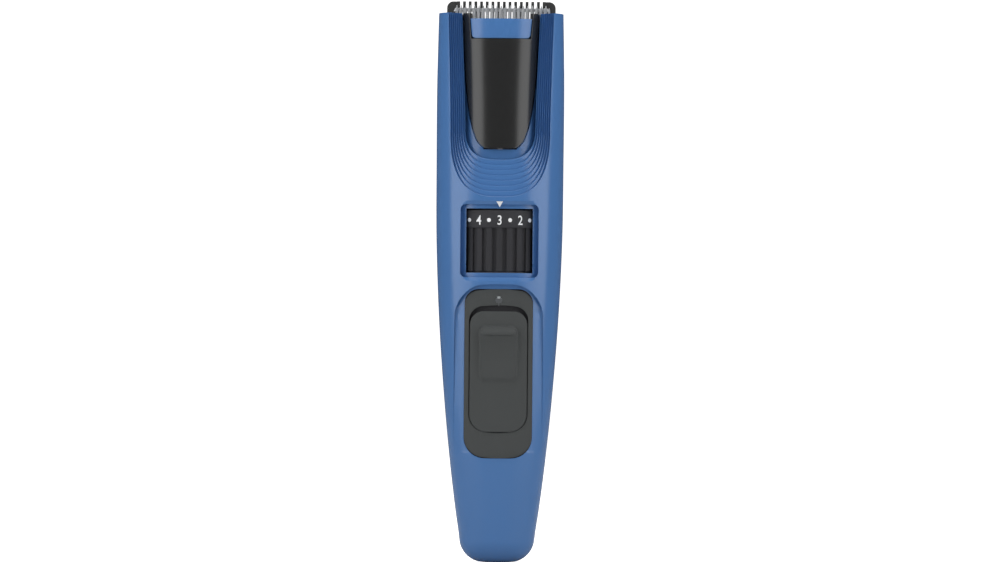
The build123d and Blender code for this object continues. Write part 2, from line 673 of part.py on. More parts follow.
def cutter_frame():
    """Plastic carrier of the blades; its front plate fills the neck's notch."""
    front = prism_xz(notch_outline(NOTCH_GAP, FRAME_FRONT_TOP_Z), -3.2)
    front &= form(NECK_ROWS, FRAME_FRONT_INSET, low=150.0)
    inner = block((-FRAME_HALF, FRAME_HALF), (-FAR, 0.9), FRAME_Z)
    inner &= form(NECK_ROWS, FRAME_BODY_INSET, low=150.0)
    frame = (front - form(NECK_ROWS, FRAME_FRONT_INNER, low=150.0)) + inner
    frame += block((-FRAME_PLATE_HALF, FRAME_PLATE_HALF), FRAME_PLATE_Y, FRAME_PLATE_Z)
    frame -= block((-FRAME_CAVITY_HALF, FRAME_CAVITY_HALF), (-5.2, FRAME_PLATE_Y[0]), (158.8, 175.0))
    frame -= block((-FAR, FAR), (MOVING_Y[0] - 0.1, FRAME_PLATE_Y[0]), (158.4, 180.0))
    frame -= block((-4.0, 4.0), (-4.7, 1.9), (150.0, 159.0))
    frame -= mirrored(rod_y(0.8, BLADE_SCREW_X, BLADE_SCREW_Z, (-3, 3)))
    return frame - mirrored(rod_y(1.7, BLADE_SCREW_X, BLADE_SCREW_Z, (0.0, 3)))


def blade_spring():
    """Steel strip that presses the moving blade on the guard."""
    strip = block((-FRAME_CAVITY_HALF, FRAME_CAVITY_HALF), (-2.95, -2.65), (165.6, 168.0))
    return strip - mirrored(block((2.0, 5.4), (-5, 0), (166.2, 167.4)))


def blade_screws():
    """Two countersunk screws through the frame into the guard."""
    def screw():
        body = rod_y(0.76, BLADE_SCREW_X, BLADE_SCREW_Z, (-1.6, 0.0))
        body += rod_y(1.6, BLADE_SCREW_X, BLADE_SCREW_Z, (0.0, 0.85))
        return body - Pos(BLADE_SCREW_X, 0.8, BLADE_SCREW_Z) * (Box(1.9, 0.5, 0.35) + Box(0.35, 0.5, 1.9))
    return pair(screw)


# ---------------------------------------------------------------- inner frame
def chassis():
    """One moulding: battery tray, dial race, guide tube and motor cradle."""
    frame = form(BODY_ROWS, PLATE_INSET, low=PLATE_Z[0], high=PLATE_Z[1])
    frame += ring(RACE_R, TUBE_BORE_R, (PLATE_Z[0], RACE_TOP_Z))
    frame += ring(TUBE_R, TUBE_BORE_R, TUBE_Z)
    frame -= block((-FAR, FAR), (-FAR, PLATE_FRONT_Y), (80.0, 89.0))
    frame += rod(TUBE_R - 0.5, FLOOR_Z)
    cradle = ring(CRADLE_R, CRADLE_BORE_R, (FLOOR_Z[0], CRADLE_TOP_Z), y=MOTOR_Y)
    cradle += ring(CRADLE_R, 6.0, (FLOOR_Z[0], MOTOR_CAP_Z[0]), y=MOTOR_Y)
    frame += cradle - block((-FAR, FAR), (-FAR, CRADLE_FRONT_Y), (100, 200))
    tray = ring(TRAY_R, TRAY_BORE_R, TRAY_Z, y=CELL_Y) & block((-FAR, FAR), (CELL_Y, FAR), (0, 100))
    frame += tray
    frame += mirrored(block((TRAY_BORE_R, TRAY_R), (BOARD_Y[1], CELL_Y), (40.0, TRAY_Z[1])))
    frame += mirrored(block((5.6, TRAY_R), (BOARD_Y[1], BOARD_Y[1] + 0.8), (44.0, TRAY_Z[1])))
    frame -= rod(3.4, (80, 125), y=MOTOR_Y)
    frame -= block((-4.0, 4.0), (-9.0, MOTOR_Y), (80.0, 88.0))
    frame -= ring(15.2, 13.9, (RACE_TOP_Z - 1.3, RACE_TOP_Z + 1)) & block((-6.4, 6.4), (0, FAR), (80, 100))
    return frame


# ---------------------------------------------------------------- motor
def motor_can():
    can = rod(MOTOR_R, MOTOR_CAN_Z, y=MOTOR_Y)
    can -= rod(MOTOR_R - CAN_WALL, (MOTOR_CAN_Z[0] - 1, MOTOR_CAN_Z[1] - CAN_WALL), y=MOTOR_Y)
    return can - rod(BUSH_R, (140, 150), y=MOTOR_Y)


def motor_end_cap():
    cap = rod(MOTOR_R, MOTOR_CAP_Z, y=MOTOR_Y)
    cap -= rod(5.0, (MOTOR_CAP_Z[0] + 2.2, 130), y=MOTOR_Y)
    cap -= rod(BUSH_R, (120, 130), y=MOTOR_Y)
    return cap - mirrored(block((2.6, 4.0), (MOTOR_Y - 0.3, MOTOR_Y + 0.3), (120, 124)))


def motor_terminals():
    return pair(lambda: block((2.6, 4.0), (MOTOR_Y - 0.3, MOTOR_Y + 0.3), (119.4, 123.0)))


def motor_bushes():
    low = ring(BUSH_R, BUSH_BORE_R, (MOTOR_CAP_Z[0], MOTOR_CAP_Z[0] + 2.2), y=MOTOR_Y)
    high = ring(BUSH_R, BUSH_BORE_R, (MOTOR_CAN_Z[1] - 1.8, MOTOR_CAN_Z[1] + 0.2), y=MOTOR_Y)
    return Compound(children=[low, high])


def motor_magnets():
    arc = ring(MAGNET_R[1], MAGNET_R[0], MAGNET_Z, y=MOTOR_Y)
    front = arc & block((-4.6, 4.6), (-FAR, MOTOR_Y), (100, 160))
    rear = arc & block((-4.6, 4.6), (MOTOR_Y, FAR), (100, 160))
    return Compound(children=[front, rear])


def motor_band():
    """Spring band that holds the motor in its cradle."""
    return ring(BAND_R[1], BAND_R[0], BAND_Z, y=MOTOR_Y)


def shaft_seal():
    """Felt washer that keeps clippings out of the motor."""
    return ring(5.4, 1.0, (MOTOR_CAN_Z[1] + 0.25, MOTOR_CAN_Z[1] + 1.2), y=MOTOR_Y)


def motor_shaft():
    return rod(SHAFT_R, SHAFT_Z, y=MOTOR_Y)


def rotor_core():
    """Three-pole laminated core."""
    core = Circle(1.9)
    for turn in (90, 210, 330):
        core += Rot(Z=turn) * (Pos(2.2, 0) * Rectangle(3.4, 1.6))
        ring = Rot(Z=turn) * (Circle(ROTOR_R) - Circle(3.7))
        core += ring & (Rot(Z=turn) * Pos(4, 0) * Rectangle(4, 7.2))
    core = extrude(Pos(0, MOTOR_Y, 0) * (core - Circle(SHAFT_R)), amount=ROTOR_Z[1] - ROTOR_Z[0])
    return Pos(0, 0, ROTOR_Z[0]) * core


def rotor_windings():
    """One coil of wire round each pole."""
    coils = []
    for turn in (90, 210, 330):
        coil = Pos(2.65, 0, (ROTOR_Z[0] + ROTOR_Z[1]) / 2) * Box(1.4, 3.0, ROTOR_Z[1] - ROTOR_Z[0] + 2.4)
        coil -= Pos(2.65, 0, (ROTOR_Z[0] + ROTOR_Z[1]) / 2) * Box(3.0, 1.6, ROTOR_Z[1] - ROTOR_Z[0])
        coils.append(Pos(0, MOTOR_Y, 0) * Rot(Z=turn) * coil)
    return Compound(children=coils)


def commutator():
    return ring(1.9, SHAFT_R, COMMUTATOR_Z, y=MOTOR_Y)


def eccentric_cap():
    """Balanced cap on the shaft with the crank pin."""
    cap = rod(ECCENTRIC_R, ECCENTRIC_Z, y=MOTOR_Y) - rod(SHAFT_R, (140, SHAFT_Z[1]), y=MOTOR_Y)
    return cap + rod(CRANK_PIN_R, (ECCENTRIC_Z[1] - 0.1, CRANK_PIN_TOP_Z), x=CRANK_R, y=MOTOR_Y)


def wire(points, radius=0.5):
    """A short lead along straight runs joined by arcs."""
    path = FilletPolyline(*points, radius=2.0)
    face = Plane(origin=path @ 0, z_dir=path % 0) * Circle(radius)
    return sweep(face, path=path)


def motor_leads():
    """Two leads from the motor's terminals down the guide tube to the board."""
    route = [(2.4, MOTOR_Y, 119.3), (2.4, MOTOR_Y, 89.0), (2.4, -5.9, 84.0), (2.4, -5.9, 79.0)]
    return pair(lambda: wire(route))


# ---------------------------------------------------------------- electrics
def battery_cell():
    cell = rod(CELL_R, CELL_Z, y=CELL_Y)
    button = rod(2.6, (CELL_Z[1], CELL_Z[1] + 0.8), y=CELL_Y)
    return fillet(cell.edges().filter_by(GeomType.CIRCLE), 0.6) + button


def battery_tabs():
    """Nickel strips from the cell's ends to the board."""
    low = block((-1.5, 1.5), (BOARD_Y[1], CELL_Y + 2), (CELL_Z[0] - 0.3, CELL_Z[0]))
    low += block((-1.5, 1.5), (BOARD_Y[1], BOARD_Y[1] + 0.3), (CELL_Z[0] - 0.3, 39.0))
    high = block((-1.5, 1.5), (BOARD_Y[1], CELL_Y + 2), (CELL_Z[1] + 0.8, CELL_Z[1] + 1.1))
    high += block((-1.5, 1.5), (BOARD_Y[1], BOARD_Y[1] + 0.3), (CELL_Z[1] - 3.0, CELL_Z[1] + 1.1))
    return Compound(children=[low, high])


def circuit_board():
    return block((-BOARD_HALF, BOARD_HALF), BOARD_Y, BOARD_Z)


def board_components():
    """Controller chip, coil and capacitors on the board's front face."""
    front = BOARD_Y[0]
    chip = block((-2.5, 2.5), (front - 1.0, front), (46.0, 51.0))
    coil = Pos(3.6, front - 0.6, 55.0) * Rot(X=90) * Cylinder(1.6, 1.2)
    caps = [block((x - 0.6, x + 0.6), (front - 0.8, front), (70.0, 72.0)) for x in (-4.0, -1.5, 1.5, 4.0)]
    return Compound(children=[chip, coil] + caps)


def indicator_led():
    return block((-1.0, 1.0), (BOARD_Y[0] - 0.9, BOARD_Y[0]), (LED_Z - 0.9, LED_Z + 0.9))


def light_pipe():
    """Clear rod from the lamp on the board to the panel's surface."""
    pipe = rod_y(0.85, 0, LED_Z, (-FAR, BOARD_Y[0] - 1.0))
    return pipe & form(BODY_ROWS, -PANEL_PROUD + 0.03, low=20.0, high=95.0, sunk=True)


def socket_housing():
    """Charging inlet in the base, for a two-pin plug."""
    case = block((-SOCKET_BODY_HALF[0], SOCKET_BODY_HALF[0]), (-SOCKET_BODY_HALF[1], SOCKET_BODY_HALF[1]),
                 SOCKET_BODY_Z)
    case = fillet(case.edges().filter_by(Axis.Z), 1.2)
    case -= block((-SOCKET_HALF[0], SOCKET_HALF[0]), (-SOCKET_HALF[1], SOCKET_HALF[1]), (0, SOCKET_DEPTH_Z))
    return case - mirrored(rod(CONTACT_R, (0, 20), x=CONTACT_X))


def socket_contacts():
    return pair(lambda: rod(CONTACT_R, CONTACT_Z, x=CONTACT_X))


def socket_leads():
    """Two leads from the inlet to the board."""
    return pair(lambda: wire([(CONTACT_X, 0, CONTACT_Z[1]), (CONTACT_X, 0, 17.5), (3.4, -5.9, 23.5),
                              (3.4, -6.2, 34.0), (3.4, -6.2, 38.5)]))


# ---------------------------------------------------------------- files
PARTS = [
    front_shell, rear_shell, shell_screws, neck_cover, switch_panel,
    slide_button, slider_foot, switch_knob, switch_housing,
    length_dial, detent_spring, comb_carriage, guide_comb,
    guard_blade, moving_blade, drive_bridge, cutter_frame, blade_spring, blade_screws,
    chassis, motor_can, motor_end_cap, motor_terminals, motor_bushes, motor_magnets, motor_band,
    shaft_seal, motor_shaft, rotor_core, rotor_windings, commutator, eccentric_cap, motor_leads,
    battery_cell, battery_tabs, circuit_board, board_components, indicator_led, light_pipe,
    socket_housing, socket_contacts, socket_leads,
]

os.makedirs("parts", exist_ok=True)
for make in PARTS:
    export_step(make(), f"parts/{make.__name__}.step")
    print(make.__name__)
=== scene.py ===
"""Looks of a cordless beard trimmer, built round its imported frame."""

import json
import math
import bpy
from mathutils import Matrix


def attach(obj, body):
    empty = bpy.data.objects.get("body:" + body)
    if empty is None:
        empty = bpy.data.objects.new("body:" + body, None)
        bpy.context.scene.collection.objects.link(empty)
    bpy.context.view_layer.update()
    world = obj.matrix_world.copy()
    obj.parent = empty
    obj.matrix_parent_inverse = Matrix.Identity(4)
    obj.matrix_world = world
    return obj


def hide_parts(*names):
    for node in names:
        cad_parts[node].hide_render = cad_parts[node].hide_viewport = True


bl_info = {
    "name": "Beard Trimmer",
    "version": (1, 0, 0),
    "blender": (4, 5, 0),
    "location": "View3D > Sidebar > Trimmer",
    "description": "Adds the shaped pieces, finishes and studio of a beard trimmer",
    "category": "Add Mesh",
}

import bmesh
import bpy
from mathutils import Vector

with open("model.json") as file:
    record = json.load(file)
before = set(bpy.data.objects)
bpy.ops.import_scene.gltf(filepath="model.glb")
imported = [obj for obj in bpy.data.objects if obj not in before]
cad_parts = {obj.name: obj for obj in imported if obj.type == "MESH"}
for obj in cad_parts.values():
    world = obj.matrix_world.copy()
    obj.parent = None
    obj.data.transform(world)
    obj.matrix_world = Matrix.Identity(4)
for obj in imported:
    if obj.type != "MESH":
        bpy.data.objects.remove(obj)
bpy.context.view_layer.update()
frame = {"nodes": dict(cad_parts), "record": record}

MM = 0.001

# The casing and the neck at rising heights: height, half width, depth to the
# front, depth to the rear, squareness of the section. All in millimetres.
CASING_ROWS = [
    (0.0, 11.2, 10.3, 10.3, 2.3), (8.0, 11.85, 11.0, 10.9, 2.3), (16.0, 13.0, 11.8, 11.7, 2.3),
    (30.0, 14.75, 13.1, 13.1, 2.35), (50.0, 16.75, 14.8, 15.0, 2.4), (75.0, 18.6, 16.6, 17.3, 2.5),
    (100.0, 19.65, 17.8, 19.0, 2.6), (125.0, 19.85, 17.5, 18.4, 2.75), (150.0, 19.85, 15.8, 15.8, 2.9),
    (178.0, 19.35, 12.8, 10.9, 3.0),
]
NECK_ROWS = [
    (124.0, 12.9, 13.2, 6.0, 2.5), (140.0, 12.9, 12.4, 6.0, 2.5), (155.0, 12.9, 10.9, 6.0, 2.5),
    (176.0, 12.9, 8.8, 6.0, 2.5),
]
NECK_EDGE = [
    (129.0, 4.8), (130.2, 6.2), (131.8, 7.3), (136.5, 8.8), (144.3, 10.1), (156.8, 11.2), (171.1, 11.6),
]
CASING_TOP = 171.1
STEP_TURN_Z = 136.0
CREASE = (34.0, 86.8, 1.6)
CREASE_HALF = 13.75

# The sliding button and its thumb rest: half width, and the heights they span.
SLIDER_HALF = 8.9
SLIDER_Z = (40.9, 78.4)
THUMB_HALF = 6.1
THUMB_Z = (56.8, 74.0)


# ---------------------------------------------------------------- settings
class TrimmerColours(bpy.types.PropertyGroup):
    casing: bpy.props.FloatVectorProperty(
        name="Casing", description="Colour of the moulded casing", subtype="COLOR", size=3, min=0, max=1,
        default=(0.010, 0.052, 0.175))
    neck: bpy.props.FloatVectorProperty(
        name="Neck", description="Colour of the polished neck cover", subtype="COLOR", size=3, min=0, max=1,
        default=(0.150, 0.152, 0.152))
    grip: bpy.props.FloatVectorProperty(
        name="Grip", description="Colour of the soft-touch panel and button", subtype="COLOR", size=3, min=0,
        max=1, default=(0.022, 0.024, 0.026))
    print_white: bpy.props.FloatVectorProperty(
        name="Print", description="Colour of the printed numbers and marks", subtype="COLOR", size=3, min=0,
        max=1, default=(0.82, 0.83, 0.84))


class TrimmerSizes(bpy.types.PropertyGroup):
    tread_count: bpy.props.IntProperty(
        name="Treads", description="Steps in the terraced recess round the neck", default=7, min=2, max=9)
    tread_depth: bpy.props.FloatProperty(
        name="Tread Depth", description="Drop from one tread to the next", default=0.00075, min=0.0001,
        max=0.003, unit="LENGTH", precision=5)
    neck_wall: bpy.props.FloatProperty(
        name="Neck Wall", description="Thickness of the neck cover", default=0.0014, min=0.0005, max=0.003,
        unit="LENGTH", precision=5)
    rib_round: bpy.props.FloatProperty(
        name="Rib Rounding", description="Width of the rounded edges on the dial's ribs", default=0.00016,
        min=0.0, max=0.0004, unit="LENGTH", precision=5)
    digit_height: bpy.props.FloatProperty(
        name="Digit Height", description="Height of the numbers printed on the dial", default=0.0029,
        min=0.001, max=0.005, unit="LENGTH", precision=5)
    edge_round: bpy.props.FloatProperty(
        name="Edge Rounding", description="Width of the small rounded edges on moulded pieces",
        default=0.00022, min=0.0, max=0.001, unit="LENGTH", precision=5)


# ---------------------------------------------------------------- shapes
def row_at(rows, z):
    """The form's values at a height, on a smooth curve through its rows."""
    z = min(max(z, rows[0][0]), rows[-1][0])
    i = next(n for n in range(len(rows) - 1) if z <= rows[n + 1][0])
    a, b = rows[i], rows[i + 1]
    before, after = rows[max(i - 1, 0)], rows[min(i + 2, len(rows) - 1)]
    part = (z - a[0]) / (b[0] - a[0])
    values = []
    for j in range(1, len(a)):
        slope_a = (b[j] - before[j]) / (b[0] - before[0]) * (b[0] - a[0])
        slope_b = (after[j] - a[j]) / (after[0] - a[0]) * (b[0] - a[0])
        s, s2, s3 = part, part ** 2, part ** 3
        values.append((2 * s3 - 3 * s2 + 1) * a[j] + (s3 - 2 * s2 + s) * slope_a
                      + (3 * s2 - 2 * s3) * b[j] + (s3 - s2) * slope_b)
    return values


def front_depth(rows, x, z, inset=0.0):
    """Y of the form's front at x and z, drawn in by an inset."""
    half, front, _, power = row_at(rows, z)
    across = min(abs(x) / (half - inset), 0.9999)
    return -(front - inset) * (1 - across ** power) ** (1 / power)


def sunk(z):
    """Depth of the crease round the thumb panel at a height."""
    low, high, depth = CREASE
    return depth * min(max((z - low) / (high - low), 0.0), 1.0)


def panel_front(x, z, proud):
    return front_depth(CASING_ROWS, x, z, sunk(z)) - proud


def settings():
    return bpy.context.scene.trimmer_sizes


def add_piece(name, bm, body, slot, nodes=(), sharp=32.0, material=None):
    """Makes an object of a mesh in millimetres, on its body and with its finish."""
    mesh = bpy.data.meshes.new(name)
    bmesh.ops.scale(bm, verts=bm.verts, vec=(MM, MM, MM))
    bm.to_mesh(mesh)
    bm.free()
    mesh.shade_smooth()
    mesh.set_sharp_from_angle(angle=math.radians(sharp))
    mesh.materials.append(bpy.data.materials[material or slot])
    piece = bpy.data.objects.new(name, mesh)
    bpy.context.collection.objects.link(piece)
    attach(piece, body)
    if nodes:
        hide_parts(*nodes)
    return piece


def merged_copy(node):
    """A copy of a frame node's mesh with its loose triangles joined."""
    bm = bmesh.new()
    bm.from_mesh(frame["nodes"][node].data)
    bmesh.ops.remove_doubles(bm, verts=bm.verts, dist=2e-6)
    bmesh.ops.scale(bm, verts=bm.verts, vec=(1 / MM, 1 / MM, 1 / MM))
    bmesh.ops.dissolve_degenerate(bm, dist=0.001, edges=bm.edges)
    return bm


def turn_outwards(bm):
    """Points a closed form's faces outwards."""
    bmesh.ops.recalc_face_normals(bm, faces=bm.faces)
    if bm.calc_volume(signed=True) < 0:
        bmesh.ops.reverse_faces(bm, faces=bm.faces)
    return bm


def grid_form(columns, rows, place, closed=False):
    """A closed form from a grid: place gives X, Y, Z for a column and a row from 0 to 1."""
    bm = bmesh.new()
    bmesh.ops.create_grid(bm, x_segments=columns, y_segments=rows, size=1.0)
    for vert in bm.verts:
        vert.co = Vector(place((vert.co.x + 1) / 2, (vert.co.y + 1) / 2))
    if closed:
        bmesh.ops.remove_doubles(bm, verts=bm.verts, dist=0.0005)
        bmesh.ops.dissolve_degenerate(bm, dist=0.0005, edges=bm.edges)
        bmesh.ops.holes_fill(bm, edges=[e for e in bm.edges if e.is_boundary], sides=0)
        turn_outwards(bm)
    return bm


def prism(points, axis, low, high):
    """A closed form: an outline stretched along X, Y or Z between two limits."""
    bm = bmesh.new()
    def place(a, b, c):
        return {"X": (c, a, b), "Y": (a, c, b), "Z": (a, b, c)}[axis]
    face = bm.faces.new([bm.verts.new(place(a, b, low)) for a, b in points])
    made = bmesh.ops.extrude_face_region(bm, geom=[face])["geom"]
    verts = [item for item in made if isinstance(item, bmesh.types.BMVert)]
    bmesh.ops.translate(bm, verts=verts, vec=place(0, 0, high - low))
    return turn_outwards(bm)


def carve(form, cutters):
    """Takes closed cutters out of a closed form."""
    group = bpy.data.collections.new("cutters")
    bpy.context.scene.collection.children.link(group)
    made = []
    for bm in [form] + cutters:
        mesh = bpy.data.meshes.new("cutting")
        bm.to_mesh(mesh)
        bm.free()
        made.append(bpy.data.objects.new("cutting", mesh))
    bpy.context.scene.collection.objects.link(made[0])
    for cutter in made[1:]:
        group.objects.link(cutter)
    modifier = made[0].modifiers.new("cut", "BOOLEAN")
    modifier.operation = "DIFFERENCE"
    modifier.solver = "EXACT"
    modifier.operand_type = "COLLECTION"
    modifier.collection = group
    modifier.use_self = False
    shape = made[0].evaluated_get(bpy.context.evaluated_depsgraph_get())
    mesh = bpy.data.meshes.new_from_object(shape)
    result = bmesh.new()
    result.from_mesh(mesh)
    for item in made:
        cut_mesh = item.data
        bpy.data.objects.remove(item)
        bpy.data.meshes.remove(cut_mesh)
    bpy.data.meshes.remove(mesh)
    bpy.data.collections.remove(group)
    bmesh.ops.remove_doubles(result, verts=result.verts, dist=0.002)
    bmesh.ops.dissolve_degenerate(result, dist=0.002, edges=result.edges)
    return result


def soften(bm, width, wanted=lambda edge: True, degrees=35.0, segments=2):
    """Rounds the wanted sharp edges."""
    bmesh.ops.dissolve_limit(bm, angle_limit=math.radians(0.4), verts=bm.verts, edges=bm.edges,
                             use_dissolve_boundaries=False)
    sharp = [e for e in bm.edges if len(e.link_faces) == 2
             and e.calc_face_angle(0.0) > math.radians(degrees) and wanted(e)]
    bmesh.ops.bevel(bm, geom=sharp, offset=width, offset_type="OFFSET", segments=segments, profile=0.5,
                    affect="EDGES", clamp_overlap=True, material=-1)


def softened_piece(node, body, slot, width, name, wanted=lambda edge: True, degrees=35.0, segments=2):
    bm = merged_copy(node)
    soften(bm, width / MM, wanted, degrees, segments)
    return add_piece(name, bm, body, slot, (node,))


# ---------------------------------------------------------------- casing
def body_form(inset, low, high, columns=160, rows=170, base_round=0.0):
    """The casing's whole form, drawn in by inset at each height."""
    def place(column, row):
        z = low + (high - low) * row ** (1.25 if base_round else 1.0)
        half, front, rear, power = row_at(CASING_ROWS, z)
        drawn = inset(z)
        if base_round and z < base_round:
            drawn += base_round - math.sqrt(max(base_round ** 2 - (base_round - z) ** 2, 0.0))
        angle = 2 * math.pi * column
        c, s = math.cos(angle), math.sin(angle)
        depth = (front if s < 0 else rear) - drawn
        reach = ((abs(c) / (half - drawn)) ** power + (abs(s) / depth) ** power) ** (-1 / power)
        return reach * c, reach * s, z
    return grid_form(columns, rows, place, closed=True)


def step_outline(step, turn, count):
    """X and Z on a tread's U edge; turn runs from -1, top left, to 1, top right."""
    part = step / count
    half = 15.45 - 4.55 * part
    top_half = 16.5 - 4.0 * part
    height = STEP_TURN_Z - 113.9 - 11.55 * part
    bend = 0.64
    if abs(turn) <= bend:
        angle = math.radians(90) * (1 - abs(turn) / bend)
        x = half * math.cos(angle) ** (2 / 2.8) if abs(turn) > 1e-9 else 0.0
        z = STEP_TURN_Z - height * math.sin(angle) ** (2 / 2.8)
    else:
        up = (abs(turn) - bend) / (1 - bend)
        x = half + (top_half - half) * up ** 1.25
        z = STEP_TURN_Z + (176.0 - STEP_TURN_Z) * up
    return math.copysign(x, turn), z


def recess_cutter(count, drop):
    """Everything in front of the terraces and of the well behind the neck."""
    ease = 0.16
    rows = [(count, None, 0.0), (0.0, None, 1.0), (-0.16, -0.15, 1.0), (0.0, 0.1, 1.0), (0.02, drop, 1.0)]
    for step in range(1, count):
        rows += [(step - ease, drop * step, 1.0), (step - ease * 0.3, drop * step + 0.03, 1.0),
                 (step, drop * step + 0.12, 1.0), (step + 0.03, drop * (step + 1), 1.0)]
    rows += [(count - ease, drop * count, 1.0), (count, drop * count + 0.15, 1.0), (count + 0.03, 7.0, 1.0)]
    rows += [(count + 0.03, 7.0, across) for across in (0.85, 0.6, 0.3, 0.0)]

    def place(column, row):
        step, depth, across = rows[round(row * (len(rows) - 1))]
        x, z = step_outline(step, column * 2 - 1, count)
        x *= across
        return x, -40.0 if depth is None else front_depth(CASING_ROWS, x, z, depth), z
    return grid_form(200, len(rows) - 1, place, closed=True)


def rounded_outline(half, low, high, round_low, round_high, steps=10):
    """X and Z round an upright panel with its own corner radii below and above."""
    corners = [
        (half - round_low, low + round_low, round_low, -90),
        (half - round_high, high - round_high, round_high, 0),
        (-half + round_high, high - round_high, round_high, 90),
        (-half + round_low, low + round_low, round_low, 180),
    ]
    points = []
    for x, z, radius, start in corners:
        for i in range(steps + 1):
            angle = math.radians(start + 90 * i / steps)
            points.append((x + radius * math.cos(angle), z + radius * math.sin(angle)))
    dense = []
    for (ax, az), (bx, bz) in zip(points, points[1:] + points[:1]):
        cuts = max(1, int(math.hypot(bx - ax, bz - az) / 0.6))
        dense += [(ax + (bx - ax) * i / cuts, az + (bz - az) * i / cuts) for i in range(cuts)]
    return dense


def pressed_cutter(outline, floor):
    """A closed cutter: an outline whose back follows a curved floor."""
    lowest = min(z for _, z in outline)
    highest = max(z for _, z in outline)
    half = max(x for x, _ in outline)
    levels = [(0.0, False), (1.0, False)] + [(1 - i / 14, True) for i in range(15)]

    def place(column, row):
        x, z = outline[round(column * len(outline)) % len(outline)]
        out, behind = levels[round(row * (len(levels) - 1))]
        spine = min(max(z, lowest + half), highest - half)
        x, z = x * out, spine + (z - spine) * out
        return x, floor(x, z) if behind else -40.0, z
    return grid_form(len(outline), len(levels) - 1, place, closed=True)


def neck_outline(grow):
    """X and Z of the neck's foot and sides, drawn out by a gap."""
    edge = [(h + grow, z - grow * 0.3) for z, h in smooth_edge(NECK_EDGE, 40)]
    edge[0] = (edge[0][0], edge[0][1] - grow * 0.7)
    return edge + [(edge[-1][0], 185.0), (-edge[-1][0], 185.0)] + [(-x, z) for x, z in reversed(edge)]


def smooth_edge(table, count):
    low, high = table[0][0], table[-1][0]
    heights = [low + (high - low) * (i / count) ** 1.7 for i in range(count + 1)]
    return [(z, row_at(table, z)[0]) for z in heights]


def round_cutter(radius, low, high):
    bm = bmesh.new()
    bmesh.ops.create_cone(bm, cap_ends=True, segments=160, radius1=radius, radius2=radius, depth=high - low)
    bmesh.ops.translate(bm, verts=bm.verts, vec=(0, 0, (low + high) / 2))
    return turn_outwards(bm)


class TRIMMER_OT_casing(bpy.types.Operator):
    """Add the two casing halves with the terraced recess"""

    bl_idname = "trimmer.casing"
    bl_label = "Casing"

    def execute(self, context):
        self.front()
        add_piece("casing_rear", merged_copy("rear_shell"), "handle", "blue_shell", ("rear_shell",))
        return {"FINISHED"}

    def front(self):
        sizes = settings()
        form = body_form(lambda z: 0.0, 0.0, CASING_TOP, base_round=7.0)
        hollow = body_form(lambda z: 4.2 + 4.8 * min(max((z - 108.0) / 5.0, 0.0), 1.0), 3.0, 147.5,
                           columns=64, rows=60)
        slope = [(-2.8, 154.5), (17.0, 136.0), (40.0, 114.5), (40.0, 190.0), (-2.8, 190.0)]
        deck = prism(slope, "X", -40.0, 40.0)
        behind = prism([(-40, -5), (40, -5), (40, 190), (-40, 190)], "Y", 3.0, 60.0)
        cutters = [
            hollow, deck, behind, recess_cutter(sizes.tread_count, sizes.tread_depth / MM),
            prism(neck_outline(0.35), "Y", -40.0, 2.2),
            round_cutter(17.15, 90.3, 110.2),
            prism([(-10.3, 90.3), (10.3, 90.3), (10.3, 110.2), (-10.3, 110.2)], "Y", -40.0, -9.0),
            self.pocket(), self.scoop(107.0, 113.1), self.scoop(93.0, 87.3), self.crease(), self.seat(),
            prism([(-3.6, -2.3), (3.6, -2.3), (3.6, 2.3), (-3.6, 2.3)], "Z", -2.0, 5.0),
        ]
        shell = carve(form, cutters)
        # Painted shade: the casing's faces under the thumb panel and in the dial room behind the dial take
        # the black plastic finish, a dark sheet for the shade in these deep gaps; under the panel it partly
        # stands for the dark panel floor as well.
        for face in shell.faces:
            x, y, z = face.calc_center_median()
            under_panel = abs(x) < 10.55 and 33.0 < z < 85.2 and panel_front(x, z, -1.0) < y < -9.0
            behind_dial = abs(x) < 10.4 and 90.0 < z < 110.4 and y > -13.0 and math.hypot(x, y) < 17.3
            face.material_index = 1 if under_panel or behind_dial else 0
        piece = add_piece("casing_front", shell, "handle", "blue_shell", ("front_shell",), sharp=28.0)
        piece.data.materials.append(bpy.data.materials["black_plastic"])

    @staticmethod
    def pocket():
        """Side pockets of the window for the fingertips."""
        outline = rounded_outline(12.1, 88.9, 111.5, 1.6, 1.6, 8)
        return pressed_cutter(outline, lambda x, z: front_depth(CASING_ROWS, x, z, 1.9))

    @staticmethod
    def scoop(inner, outer):
        """A slope from the casing's face down to the dial."""
        ends = sorted([(inner, 3.6), (outer, -0.3)])
        (low, low_deep), (high, high_deep) = ends

        def floor(x, z):
            part = min(max((z - low) / (high - low), 0.0), 1.0)
            deep = low_deep + (high_deep - low_deep) * part
            side = min(max((abs(x) - 9.6) / 2.2, 0.0), 1.0)
            return front_depth(CASING_ROWS, x, z, deep * (1 - side) - 0.3 * side)
        return pressed_cutter(rounded_outline(11.8, low, high, 0.4, 0.4, 3), floor)

    @staticmethod
    def crease():
        """The soft hollow in which the thumb panel lies."""
        rounded = rounded_outline(CREASE_HALF, 29.0, CREASE[1], 9.0, 9.0, 14)
        outline = [(x, z - 0.0065 * x * x) for x, z in rounded]

        def floor(x, z):
            edge = min(max((CREASE_HALF - abs(x)) / 1.1, 0.0), 1.0)
            lift = 0.3 if z < CREASE[0] else 0.0
            return front_depth(CASING_ROWS, x, z, 0.0) + sunk(z) * (0.35 + 0.65 * edge) - lift
        return pressed_cutter(outline, floor)

    @staticmethod
    def seat():
        outline = rounded_outline(10.62, 32.8, 85.3, 6.5, 4.5, 10)
        return pressed_cutter(outline, lambda x, z: front_depth(CASING_ROWS, x, z, 0.0) + sunk(z) + 1.3)


